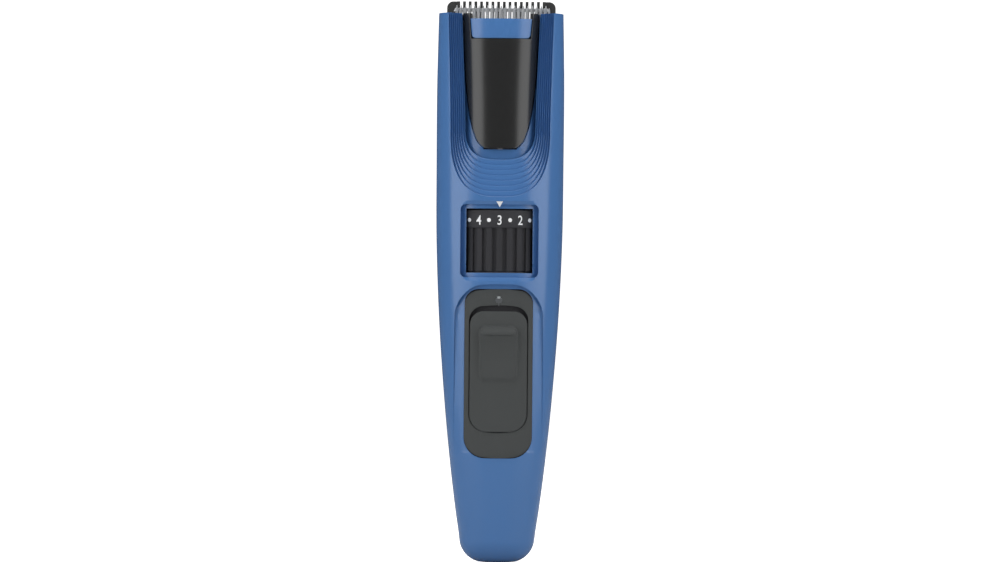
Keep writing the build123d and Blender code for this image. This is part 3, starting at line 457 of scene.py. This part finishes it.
class TRIMMER_OT_neck(bpy.types.Operator):
    """Add the polished neck cover with its notch"""

    bl_idname = "trimmer.neck"
    bl_label = "Neck Cover"

    def execute(self, context):
        bm = bmesh.new()
        columns, low_rows, rows = 64, 60, 76
        notch_z, top_z = 163.1, CASING_TOP
        bmesh.ops.create_grid(bm, x_segments=columns, y_segments=rows, size=1.0)
        inner_column = 0.8
        for vert in bm.verts:
            across, row = vert.co.x, round((vert.co.y + 1) / 2 * rows)
            if row <= low_rows:
                z = 129.0 + (notch_z - 129.0) * row / low_rows
            else:
                z = notch_z + (top_z - notch_z) * (row - low_rows) / (rows - low_rows)
            edge = self.edge_half(z)
            notch = min(9.2 + 0.7 * max(z - notch_z, 0.0) / 8.0, edge * 0.84)
            if abs(across) <= inner_column + 1e-6:
                x = across / inner_column * notch
            else:
                x = math.copysign(notch + (abs(across) - inner_column) / (1 - inner_column) * (edge - notch),
                                  across)
            vert.co = Vector((x, front_depth(NECK_ROWS, x, z), z))
        open_faces = [f for f in bm.faces if f.calc_center_median().z > notch_z
                      and abs(f.calc_center_median().x) < self.notch_half(f.calc_center_median().z)]
        bmesh.ops.delete(bm, geom=open_faces, context="FACES")
        rim = [e for e in bm.edges if e.is_boundary
               and (all(abs(v.co.x) > self.edge_half(v.co.z) - 0.02 for v in e.verts)
                    or all(v.co.z < 129.01 for v in e.verts))]
        moved = bmesh.ops.extrude_edge_only(bm, edges=rim)["geom"]
        for vert in [item for item in moved if isinstance(item, bmesh.types.BMVert)]:
            side = 0.45 if vert.co.z > 129.01 else 0.1
            vert.co += Vector((math.copysign(side, vert.co.x), 4.5 if vert.co.z > 135 else 3.0, 0.0))
        if sum(f.normal.y * f.calc_area() for f in bm.faces) > 0:
            bmesh.ops.reverse_faces(bm, faces=bm.faces)
        piece = add_piece("neck_shell", bm, "handle", "neck_gloss", ("neck_cover",), sharp=40.0)
        wall = piece.modifiers.new("wall", "SOLIDIFY")
        wall.thickness = settings().neck_wall
        wall.offset = -1.0
        wall.use_even_offset = True
        edge = piece.modifiers.new("edge", "BEVEL")
        edge.width = 0.18 * MM
        edge.segments = 3
        edge.limit_method = "ANGLE"
        edge.angle_limit = math.radians(50)
        return {"FINISHED"}

    @staticmethod
    def edge_half(z):
        return row_at(NECK_EDGE, z)[0]

    @staticmethod
    def notch_half(z):
        return 9.2 + 0.7 * max(z - 163.1, 0.0) / 8.0


class TRIMMER_OT_grip(bpy.types.Operator):
    """Add the thumb panel, the sliding button and the printed plug sign"""

    bl_idname = "trimmer.grip"
    bl_label = "Grip and Button"

    def execute(self, context):
        width = settings().edge_round
        softened_piece("switch_panel", "handle", "soft_grey", width, "thumb_panel")
        self.slider()
        self.plug_sign()
        return {"FINISHED"}

    @staticmethod
    def thumb_rise(x, z):
        """Height of the ramped thumb rest above the slider's face."""
        low, high = THUMB_Z
        profile = [
            (low, 0.0), (60.0, 0.16), (64.0, 0.42), (68.0, 0.95), (71.3, 1.75), (72.4, 1.5), (high, 0.0),
        ]
        along = row_at(profile, z)[0] if low < z < high else 0.0
        half = THUMB_HALF - 1.6 * max(0.0, (z - 72.0) / 2.0) ** 2 - 1.2 * max(0.0, (58.5 - z) / 1.7) ** 2
        edge = min(max((half - abs(x)) / 0.75, 0.0), 1.0)
        dish = 0.0
        if abs(x) < THUMB_HALF and z < 71.0:
            dish = 0.32 * (1 - (x / THUMB_HALF) ** 2) * min(max((z - 57.5) / 6.0, 0.0), 1.0)
        base = 0.55 * min(max((z - low) / 0.7, 0.0), 1.0) * min(max((high - z) / 0.5, 0.0), 1.0)
        return (base + along - dish) * edge * edge * (3 - 2 * edge)

    def slider(self):
        """The power button: a soft plate with its thumb rest."""
        outline = rounded_outline(SLIDER_HALF, *SLIDER_Z, 5.5, 4.2, 14)
        middle_low, middle_high = SLIDER_Z[0] + SLIDER_HALF, SLIDER_Z[1] - SLIDER_HALF
        levels = [(0.0, 1.1), (1.0, 1.1), (1.0, 0.35), (0.99, 0.12), (0.965, 0.0)]
        levels += [(0.95 * (1 - i / 56), 0.0) for i in range(57)]

        def place(column, row):
            x, z = outline[round(column * len(outline)) % len(outline)]
            out, back = levels[round(row * (len(levels) - 1))]
            spine = min(max(z, middle_low), middle_high)
            x, z = x * out, spine + (z - spine) * out
            rise = 0.0 if back else self.thumb_rise(x, z)
            return x, panel_front(x, z, 0.6) + back * (1.5 if back > 1 else 1.0) - rise, z
        bm = grid_form(len(outline), len(levels) - 1, place, closed=True)
        add_piece("power_slider", bm, "power_button", "soft_grey", ("slide_button",), sharp=45.0)

    def plug_sign(self):
        bm = bmesh.new()
        bars = [
            ((-1.1, 1.1), (81.45, 82.35)), ((-0.85, 0.85), (80.95, 81.6)),
            ((-0.75, -0.45), (82.25, 83.2)), ((0.45, 0.75), (82.25, 83.2)), ((-0.17, 0.17), (80.1, 81.0)),
        ]
        for x, z in bars:
            made = bmesh.ops.create_grid(bm, x_segments=4, y_segments=3, size=0.5)["verts"]
            bmesh.ops.scale(bm, verts=made, vec=(x[1] - x[0], z[1] - z[0], 1))
            bmesh.ops.translate(bm, verts=made, vec=((x[0] + x[1]) / 2, (z[0] + z[1]) / 2, 0))
        for vert in bm.verts:
            x, z = vert.co.x, vert.co.y
            vert.co = Vector((x, panel_front(x, z, 0.42), z))
        add_piece("plug_sign", bm, "handle", "lamp_white", material="print_dim")


class TRIMMER_OT_dial(bpy.types.Operator):
    """Add the numbered length dial and the pointer on the casing"""

    bl_idname = "trimmer.dial"
    bl_label = "Length Dial"

    radius = 16.83
    middle_z = 106.65

    def execute(self, context):
        softened_piece("length_dial", "dial", "black_plastic", settings().rib_round, "dial_wheel",
                       wanted=self.outer_edge, degrees=40.0)
        marks = bmesh.new()
        for number in range(1, 11):
            self.digits(marks, number)
        for half in range(0, 11):
            self.dot(marks, half + 0.5)
        add_piece("dial_numbers", marks, "dial", "lamp_white", material="print_white")
        self.pointer()
        return {"FINISHED"}

    @staticmethod
    def outer_edge(edge):
        return all(math.hypot(v.co.x, v.co.y) > 15.3 for v in edge.verts)

    def wrap(self, bm, verts, value):
        """Lays flat marks round the dial at a setting in millimetres."""
        middle = math.radians(-90 - (value - 3) * 22.5)
        for vert in verts:
            angle = middle + vert.co.x / self.radius
            vert.co = Vector((math.cos(angle) * self.radius, math.sin(angle) * self.radius,
                              self.middle_z + vert.co.y))

    def digits(self, bm, number):
        curve = bpy.data.curves.new("number", "FONT")
        curve.body = str(number)
        curve.size = settings().digit_height / MM * 1.42
        curve.align_x = "CENTER"
        curve.offset = 0.035
        text = bpy.data.objects.new("number", curve)
        bpy.context.collection.objects.link(text)
        mesh = bpy.data.meshes.new_from_object(text)
        flat = bmesh.new()
        flat.from_mesh(mesh)
        xs = [v.co.x for v in flat.verts]
        ys = [v.co.y for v in flat.verts]
        middle = Vector(((min(xs) + max(xs)) / 2, (min(ys) + max(ys)) / 2, 0))
        bmesh.ops.translate(flat, verts=flat.verts, vec=-middle)
        bmesh.ops.scale(flat, verts=flat.verts, vec=(0.82, 1.0, 1.0))
        self.wrap(flat, flat.verts, number)
        flat.to_mesh(mesh)
        flat.free()
        bm.from_mesh(mesh)
        bpy.data.objects.remove(text)
        bpy.data.curves.remove(curve)
        bpy.data.meshes.remove(mesh)

    def dot(self, bm, value):
        made = bmesh.ops.create_circle(bm, cap_ends=True, cap_tris=True, segments=20, radius=0.62)["verts"]
        self.wrap(bm, made, value)

    def pointer(self):
        bm = bmesh.new()
        corners = [bm.verts.new((x, z, 0)) for x, z in ((0.0, 110.65), (1.02, 112.4), (-1.02, 112.4))]
        bm.faces.new(corners)
        bmesh.ops.subdivide_edges(bm, edges=bm.edges, cuts=2, use_grid_fill=True)
        for vert in bm.verts:
            x, z = vert.co.x, vert.co.y
            vert.co = Vector((x, front_depth(CASING_ROWS, x, z, 3.6 - 3.9 * (z - 107.0) / 6.1) - 0.05, z))
        add_piece("pointer_mark", bm, "handle", "lamp_white", material="print_white")


class TRIMMER_OT_head(bpy.types.Operator):
    """Add the softened cutting head, its blades and the guide comb"""

    bl_idname = "trimmer.head"
    bl_label = "Cutting Head"

    def execute(self, context):
        width = settings().edge_round
        softened_piece("cutter_frame", "cutting_unit", "blue_shell", width * 0.6, "blade_carrier")
        softened_piece("guard_blade", "cutting_unit", "blade_steel", 0.05 * MM, "guard_comb_blade",
                       segments=1)
        land = prism([(-14.9, 171.9), (15.0, 171.9), (14.5, 173.0), (-14.4, 173.0)], "Y", -0.72, -0.35)
        soften(land, 0.1)
        add_piece("tooth_land", land, "cutting_unit", "blade_steel")
        softened_piece("moving_blade", "cutter", "blade_steel", 0.05 * MM, "sliding_blade", segments=1)
        softened_piece("guide_comb", "comb", "comb_plastic", width * 0.7, "hair_comb")
        return {"FINISHED"}


# ---------------------------------------------------------------- shader groups
def new_group(name, inputs, outputs):
    group = bpy.data.node_groups.new(name, "ShaderNodeTree")
    for label, kind, value in inputs:
        socket = group.interface.new_socket(name=label, in_out="INPUT", socket_type=kind)
        if value is not None:
            socket.default_value = value
    for label, kind in outputs:
        group.interface.new_socket(name=label, in_out="OUTPUT", socket_type=kind)
    return group, group.nodes.new("NodeGroupInput"), group.nodes.new("NodeGroupOutput")


def add_node(tree, kind, settings_=None, **inputs):
    node = tree.nodes.new(kind)
    for key, value in (settings_ or {}).items():
        setattr(node, key, value)
    for key, value in inputs.items():
        socket = node.inputs[key.replace("_", " ")]
        if isinstance(value, bpy.types.NodeSocket):
            tree.links.new(value, socket)
        else:
            socket.default_value = value
    return node


def spread(tree, value, low, high, to_low, to_high):
    """Maps a range of a value to another, held at its ends."""
    node = tree.nodes.new("ShaderNodeMapRange")
    node.clamp = True
    for index, item in enumerate((value, low, high, to_low, to_high)):
        if isinstance(item, bpy.types.NodeSocket):
            tree.links.new(item, node.inputs[index])
        else:
            node.inputs[index].default_value = item
    return node.outputs[0]


def make_grain_group():
    group, ins, outs = new_group("moulded_grain", [
        ("Vector", "NodeSocketVector", None), ("Grain Scale", "NodeSocketFloat", 4000.0),
        ("Cloud Scale", "NodeSocketFloat", 60.0), ("Smoothest", "NodeSocketFloat", 0.3),
        ("Roughest", "NodeSocketFloat", 0.4)],
        [("Roughness", "NodeSocketFloat"), ("Height", "NodeSocketFloat"), ("Cloud", "NodeSocketFloat")])
    fine = add_node(group, "ShaderNodeTexNoise", Vector=ins.outputs["Vector"],
                    Scale=ins.outputs["Grain Scale"], Detail=3.0, Roughness=0.6)
    cloud = add_node(group, "ShaderNodeTexNoise", Vector=ins.outputs["Vector"],
                     Scale=ins.outputs["Cloud Scale"], Detail=4.0)
    mask = spread(group, cloud.outputs["Fac"], 0.35, 0.65, 0.0, 1.0)
    rough = spread(group, mask, 0.0, 1.0, ins.outputs["Smoothest"], ins.outputs["Roughest"])
    group.links.new(rough, outs.inputs["Roughness"])
    group.links.new(fine.outputs["Fac"], outs.inputs["Height"])
    group.links.new(mask, outs.inputs["Cloud"])


def make_scratch_group():
    group, ins, outs = new_group("fine_scratches", [
        ("Vector", "NodeSocketVector", None), ("Scale", "NodeSocketFloat", 900.0),
        ("Amount", "NodeSocketFloat", 0.3)], [("Mask", "NodeSocketFloat")])
    masks = []
    for turn, stretch in ((0.5, (1.0, 1.0, 0.03)), (2.1, (0.04, 1.0, 1.0))):
        mapping = add_node(group, "ShaderNodeMapping", Vector=ins.outputs["Vector"],
                           Rotation=(0.3, turn, 0.2), Scale=stretch)
        noise = add_node(group, "ShaderNodeTexNoise", Vector=mapping.outputs["Vector"],
                         Scale=ins.outputs["Scale"], Detail=1.0)
        masks.append(spread(group, noise.outputs["Fac"], 0.68, 0.74, 0.0, 1.0))
    both = add_node(group, "ShaderNodeMath", {"operation": "MAXIMUM"})
    group.links.new(masks[0], both.inputs[0])
    group.links.new(masks[1], both.inputs[1])
    amount = add_node(group, "ShaderNodeMath", {"operation": "MULTIPLY"})
    group.links.new(both.outputs[0], amount.inputs[0])
    group.links.new(ins.outputs["Amount"], amount.inputs[1])
    group.links.new(amount.outputs[0], outs.inputs["Mask"])


def make_dust_group():
    group, ins, outs = new_group("settled_dust", [
        ("Vector", "NodeSocketVector", None), ("Scale", "NodeSocketFloat", 1500.0),
        ("Amount", "NodeSocketFloat", 0.1)], [("Mask", "NodeSocketFloat")])
    specks = add_node(group, "ShaderNodeTexVoronoi", Vector=ins.outputs["Vector"], Scale=ins.outputs["Scale"])
    dots = spread(group, specks.outputs["Distance"], 0.04, 0.1, 1.0, 0.0)
    patch = add_node(group, "ShaderNodeTexNoise", Vector=ins.outputs["Vector"], Scale=90.0, Detail=2.0)
    where = spread(group, patch.outputs["Fac"], 0.55, 0.7, 0.0, 1.0)
    node = add_node(group, "ShaderNodeMath", {"operation": "MULTIPLY"})
    group.links.new(dots, node.inputs[0])
    group.links.new(where, node.inputs[1])
    amount = add_node(group, "ShaderNodeMath", {"operation": "MULTIPLY"})
    group.links.new(node.outputs[0], amount.inputs[0])
    group.links.new(ins.outputs["Amount"], amount.inputs[1])
    group.links.new(amount.outputs[0], outs.inputs["Mask"])


# Each finish: colour, metallic, smoothest, roughest, grain scale, bump strength,
# scratches, coat weight. Colours are linear.
FINISHES = {
    "blue_shell": (None, 0.0, 0.27, 0.34, 5200.0, 0.03, 0.08, 0.12),
    "neck_gloss": (None, 1.0, 0.06, 0.09, 3000.0, 0.0, 0.03, 0.3),
    "soft_grey": (None, 0.0, 0.52, 0.62, 7000.0, 0.16, 0.05, 0.0),
    "black_plastic": ((0.012, 0.0125, 0.013), 0.0, 0.24, 0.32, 6000.0, 0.06, 0.10, 0.15),
    "comb_plastic": ((0.014, 0.014, 0.015), 0.0, 0.26, 0.36, 5200.0, 0.06, 0.12, 0.1),
    "blade_steel": ((0.62, 0.63, 0.64), 1.0, 0.16, 0.26, 2600.0, 0.03, 0.25, 0.0),
    "spring_steel": ((0.48, 0.49, 0.51), 1.0, 0.24, 0.36, 2600.0, 0.04, 0.3, 0.0),
    "screw_steel": ((0.10, 0.10, 0.11), 1.0, 0.32, 0.45, 3600.0, 0.08, 0.3, 0.0),
    "frame_plastic": ((0.055, 0.056, 0.06), 0.0, 0.48, 0.6, 2800.0, 0.2, 0.05, 0.0),
    "motor_steel": ((0.6, 0.6, 0.62), 1.0, 0.14, 0.24, 2600.0, 0.02, 0.2, 0.0),
    "magnet_ferrite": ((0.045, 0.045, 0.05), 0.2, 0.5, 0.65, 3200.0, 0.25, 0.0, 0.0),
    "core_iron": ((0.2, 0.2, 0.21), 1.0, 0.35, 0.5, 3200.0, 0.1, 0.1, 0.0),
    "copper": ((0.72, 0.26, 0.11), 1.0, 0.22, 0.32, 3200.0, 0.08, 0.1, 0.3),
    "brass_contact": ((0.78, 0.56, 0.24), 1.0, 0.18, 0.3, 3200.0, 0.03, 0.2, 0.0),
    "felt": ((0.3, 0.29, 0.27), 0.0, 0.85, 0.95, 1800.0, 0.5, 0.0, 0.0),
    "cell_wrap": ((0.04, 0.2, 0.09), 0.0, 0.2, 0.28, 3200.0, 0.02, 0.1, 0.3),
    "board_green": ((0.012, 0.09, 0.04), 0.0, 0.25, 0.4, 3200.0, 0.06, 0.0, 0.2),
    "lead_red": ((0.35, 0.02, 0.02), 0.0, 0.4, 0.5, 3200.0, 0.05, 0.0, 0.0),
    "lamp_white": ((0.75, 0.75, 0.7), 0.0, 0.25, 0.35, 3200.0, 0.02, 0.0, 0.1),
    "print_white": (None, 0.0, 0.4, 0.5, 6000.0, 0.05, 0.0, 0.0),
    "print_dim": ((0.075, 0.08, 0.085), 0.0, 0.45, 0.55, 6000.0, 0.05, 0.0, 0.0),
}


def make_finish(name, colour):
    _, metallic, smooth, rough, grain_scale, bump_strength, scratch, coat = FINISHES[name]
    material = bpy.data.materials.new(name)
    material.use_nodes = True
    material.diffuse_color = (*colour, 1.0)
    tree = material.node_tree
    shader = tree.nodes["Principled BSDF"]
    coords = tree.nodes.new("ShaderNodeTexCoord").outputs["Object"]
    grain = add_node(tree, "ShaderNodeGroup", {"node_tree": bpy.data.node_groups["moulded_grain"]})
    tree.links.new(coords, grain.inputs["Vector"])
    grain.inputs["Grain Scale"].default_value = grain_scale
    grain.inputs["Smoothest"].default_value = smooth
    grain.inputs["Roughest"].default_value = rough
    marks = add_node(tree, "ShaderNodeGroup", {"node_tree": bpy.data.node_groups["fine_scratches"]})
    tree.links.new(coords, marks.inputs["Vector"])
    marks.inputs["Amount"].default_value = scratch
    dust = add_node(tree, "ShaderNodeGroup", {"node_tree": bpy.data.node_groups["settled_dust"]})
    tree.links.new(coords, dust.inputs["Vector"])
    dust.inputs["Amount"].default_value = 0.12
    shade = add_node(tree, "ShaderNodeMix", {"data_type": "RGBA", "blend_type": "MIX"})
    tree.links.new(grain.outputs["Cloud"], shade.inputs[0])
    shade.inputs[6].default_value = (*[c * 0.93 for c in colour], 1.0)
    shade.inputs[7].default_value = (*[min(c * 1.05, 1.0) for c in colour], 1.0)
    worn = add_node(tree, "ShaderNodeMix", {"data_type": "RGBA", "blend_type": "MIX"})
    tree.links.new(dust.outputs["Mask"], worn.inputs[0])
    tree.links.new(shade.outputs[2], worn.inputs[6])
    worn.inputs[7].default_value = (0.42, 0.41, 0.4, 1.0)
    tree.links.new(worn.outputs[2], shader.inputs["Base Color"])
    roughness = add_node(tree, "ShaderNodeMath", {"operation": "MULTIPLY_ADD", "use_clamp": True})
    tree.links.new(marks.outputs["Mask"], roughness.inputs[0])
    roughness.inputs[1].default_value = 0.35
    tree.links.new(grain.outputs["Roughness"], roughness.inputs[2])
    tree.links.new(roughness.outputs[0], shader.inputs["Roughness"])
    bump = add_node(tree, "ShaderNodeBump", Strength=bump_strength, Distance=0.0001)
    tree.links.new(grain.outputs["Height"], bump.inputs["Height"])
    tree.links.new(bump.outputs["Normal"], shader.inputs["Normal"])
    shader.inputs["Metallic"].default_value = metallic
    shader.inputs["Coat Weight"].default_value = coat
    shader.inputs["Coat Roughness"].default_value = 0.04
    shader.inputs["IOR"].default_value = 1.5
    return material


def make_lens():
    material = bpy.data.materials.new("lens_clear")
    material.use_nodes = True
    shader = material.node_tree.nodes["Principled BSDF"]
    shader.inputs["Base Color"].default_value = (0.035, 0.037, 0.04, 1)
    shader.inputs["Roughness"].default_value = 0.12
    shader.inputs["Transmission Weight"].default_value = 0.35
    return material


class TRIMMER_OT_finishes(bpy.types.Operator):
    """Make the shader groups and finishes and give them to the frame's nodes"""

    bl_idname = "trimmer.finishes"
    bl_label = "Finishes"

    def execute(self, context):
        make_grain_group()
        make_scratch_group()
        make_dust_group()
        chosen = context.scene.trimmer_colours
        own = {"blue_shell": chosen.casing, "neck_gloss": chosen.neck, "soft_grey": chosen.grip,
               "print_white": chosen.print_white}
        for name, finish in FINISHES.items():
            make_finish(name, tuple(own.get(name) or finish[0]))
        make_lens()
        for part in frame["record"]["subparts"]:
            node = frame["nodes"][part["node"]]
            for slot in node.material_slots:
                slot.material = bpy.data.materials[part["material_slot"]]
        return {"FINISHED"}


# ---------------------------------------------------------------- stage
class TRIMMER_OT_stage(bpy.types.Operator):
    """Add the pale floor, the soft lights, the world and the camera"""

    bl_idname = "trimmer.stage"
    bl_label = "Studio"

    def execute(self, context):
        self.backdrop()
        self.light("panel_left", (-0.5, -0.46, 0.14), (1.22, 0.75), 7.6, (1, 0, 0))
        self.light("panel_right", (0.5, -0.46, 0.14), (1.22, 0.75), 7.2, (-1, 0, 0))
        self.light("top", (0.0, -0.1, 0.8), (0.7, 0.4), 2.0, (0, 0, -1))
        self.light("rear", (0.0, 1.15, 0.62), (1.2, 0.4), 4.0, (0, -1, 0))
        self.world(context)
        self.camera(context)
        context.scene.view_settings.view_transform = "Standard"
        context.scene.view_settings.look = "None"
        return {"FINISHED"}

    def backdrop(self):
        bm = bmesh.new()
        bmesh.ops.create_grid(bm, x_segments=2, y_segments=40, size=1.0)
        for vert in bm.verts:
            along = (vert.co.y + 1) / 2
            if along < 0.5:
                place = (-3.0 + 4.2 * along / 0.5, 0.0)
            elif along < 0.8:
                turn = (along - 0.5) / 0.3 * math.pi / 2
                place = (1.2 + 0.8 * math.sin(turn), 0.8 * (1 - math.cos(turn)))
            else:
                place = (2.0, 0.8 + 3.0 * (along - 0.8) / 0.2)
            vert.co = Vector((vert.co.x * 4.0, place[0], place[1] - 0.0001))
        mesh = bpy.data.meshes.new("backdrop")
        bm.to_mesh(mesh)
        bm.free()
        mesh.shade_smooth()
        paper = bpy.data.materials.new("paper_white")
        paper.use_nodes = True
        shader = paper.node_tree.nodes["Principled BSDF"]
        shader.inputs["Base Color"].default_value = (0.62, 0.62, 0.62, 1)
        shader.inputs["Roughness"].default_value = 0.9
        shader.inputs["Emission Color"].default_value = (1, 1, 1, 1)
        path = paper.node_tree.nodes.new("ShaderNodeLightPath")
        glow = spread(paper.node_tree, path.outputs["Is Camera Ray"], 0.0, 1.0, 0.0, 1.1)
        paper.node_tree.links.new(glow, shader.inputs["Emission Strength"])
        mesh.materials.append(paper)
        sweep = bpy.data.objects.new("backdrop", mesh)
        bpy.context.collection.objects.link(sweep)

    def light(self, name, place, size, power, towards):
        data = bpy.data.lights.new(name, "AREA")
        data.shape = "RECTANGLE"
        data.size, data.size_y = size
        data.energy = power
        lamp = bpy.data.objects.new(name, data)
        bpy.context.collection.objects.link(lamp)
        lamp.location = place
        lamp.rotation_mode = "QUATERNION"
        lamp.rotation_quaternion = Vector(towards).to_track_quat("-Z", "Z" if towards[2] == 0 else "Y")

    def world(self, context):
        world = bpy.data.worlds.new("studio")
        context.scene.world = world
        world.use_nodes = True
        tree = world.node_tree
        background = tree.nodes["Background"]
        path = tree.nodes.new("ShaderNodeLightPath")
        seen = add_node(tree, "ShaderNodeMix", {"data_type": "RGBA"})
        tree.links.new(path.outputs["Is Camera Ray"], seen.inputs[0])
        seen.inputs[6].default_value = (0.13, 0.135, 0.14, 1)
        seen.inputs[7].default_value = (1, 1, 1, 1)
        tree.links.new(seen.outputs[2], background.inputs["Color"])
        background.inputs["Strength"].default_value = 1.0

    def camera(self, context):
        data = bpy.data.cameras.new("camera")
        data.lens = 184.3
        data.sensor_width = 36.0
        camera = bpy.data.objects.new("camera", data)
        bpy.context.collection.objects.link(camera)
        camera.location = (0.0003, -1.6, 0.0878)
        camera.rotation_euler = (math.radians(90), math.radians(-0.5), 0)
        context.scene.camera = camera


class TRIMMER_PT_panel(bpy.types.Panel):
    """Trimmer pieces and their sizes"""

    bl_idname = "TRIMMER_PT_panel"
    bl_label = "Beard Trimmer"
    bl_space_type = "VIEW_3D"
    bl_region_type = "UI"
    bl_category = "Trimmer"

    def draw(self, context):
        layout = self.layout
        for group in (context.scene.trimmer_colours, context.scene.trimmer_sizes):
            box = layout.box()
            for name in group.__annotations__:
                box.prop(group, name)
        for operator in OPERATORS:
            layout.operator(operator.bl_idname)


OPERATORS = (TRIMMER_OT_finishes, TRIMMER_OT_casing, TRIMMER_OT_neck, TRIMMER_OT_grip, TRIMMER_OT_dial,
             TRIMMER_OT_head, TRIMMER_OT_stage)
CLASSES = (TrimmerColours, TrimmerSizes, *OPERATORS, TRIMMER_PT_panel)


def register():
    for cls in CLASSES:
        bpy.utils.register_class(cls)
    bpy.types.Scene.trimmer_colours = bpy.props.PointerProperty(type=TrimmerColours)
    bpy.types.Scene.trimmer_sizes = bpy.props.PointerProperty(type=TrimmerSizes)


def unregister():
    del bpy.types.Scene.trimmer_sizes
    del bpy.types.Scene.trimmer_colours
    for cls in reversed(CLASSES):
        bpy.utils.unregister_class(cls)


def main():
    register()
    bpy.ops.trimmer.finishes()
    bpy.ops.trimmer.casing()
    bpy.ops.trimmer.neck()
    bpy.ops.trimmer.grip()
    bpy.ops.trimmer.dial()
    bpy.ops.trimmer.head()
    bpy.ops.trimmer.stage()


if __name__ == "__main__":
    main()
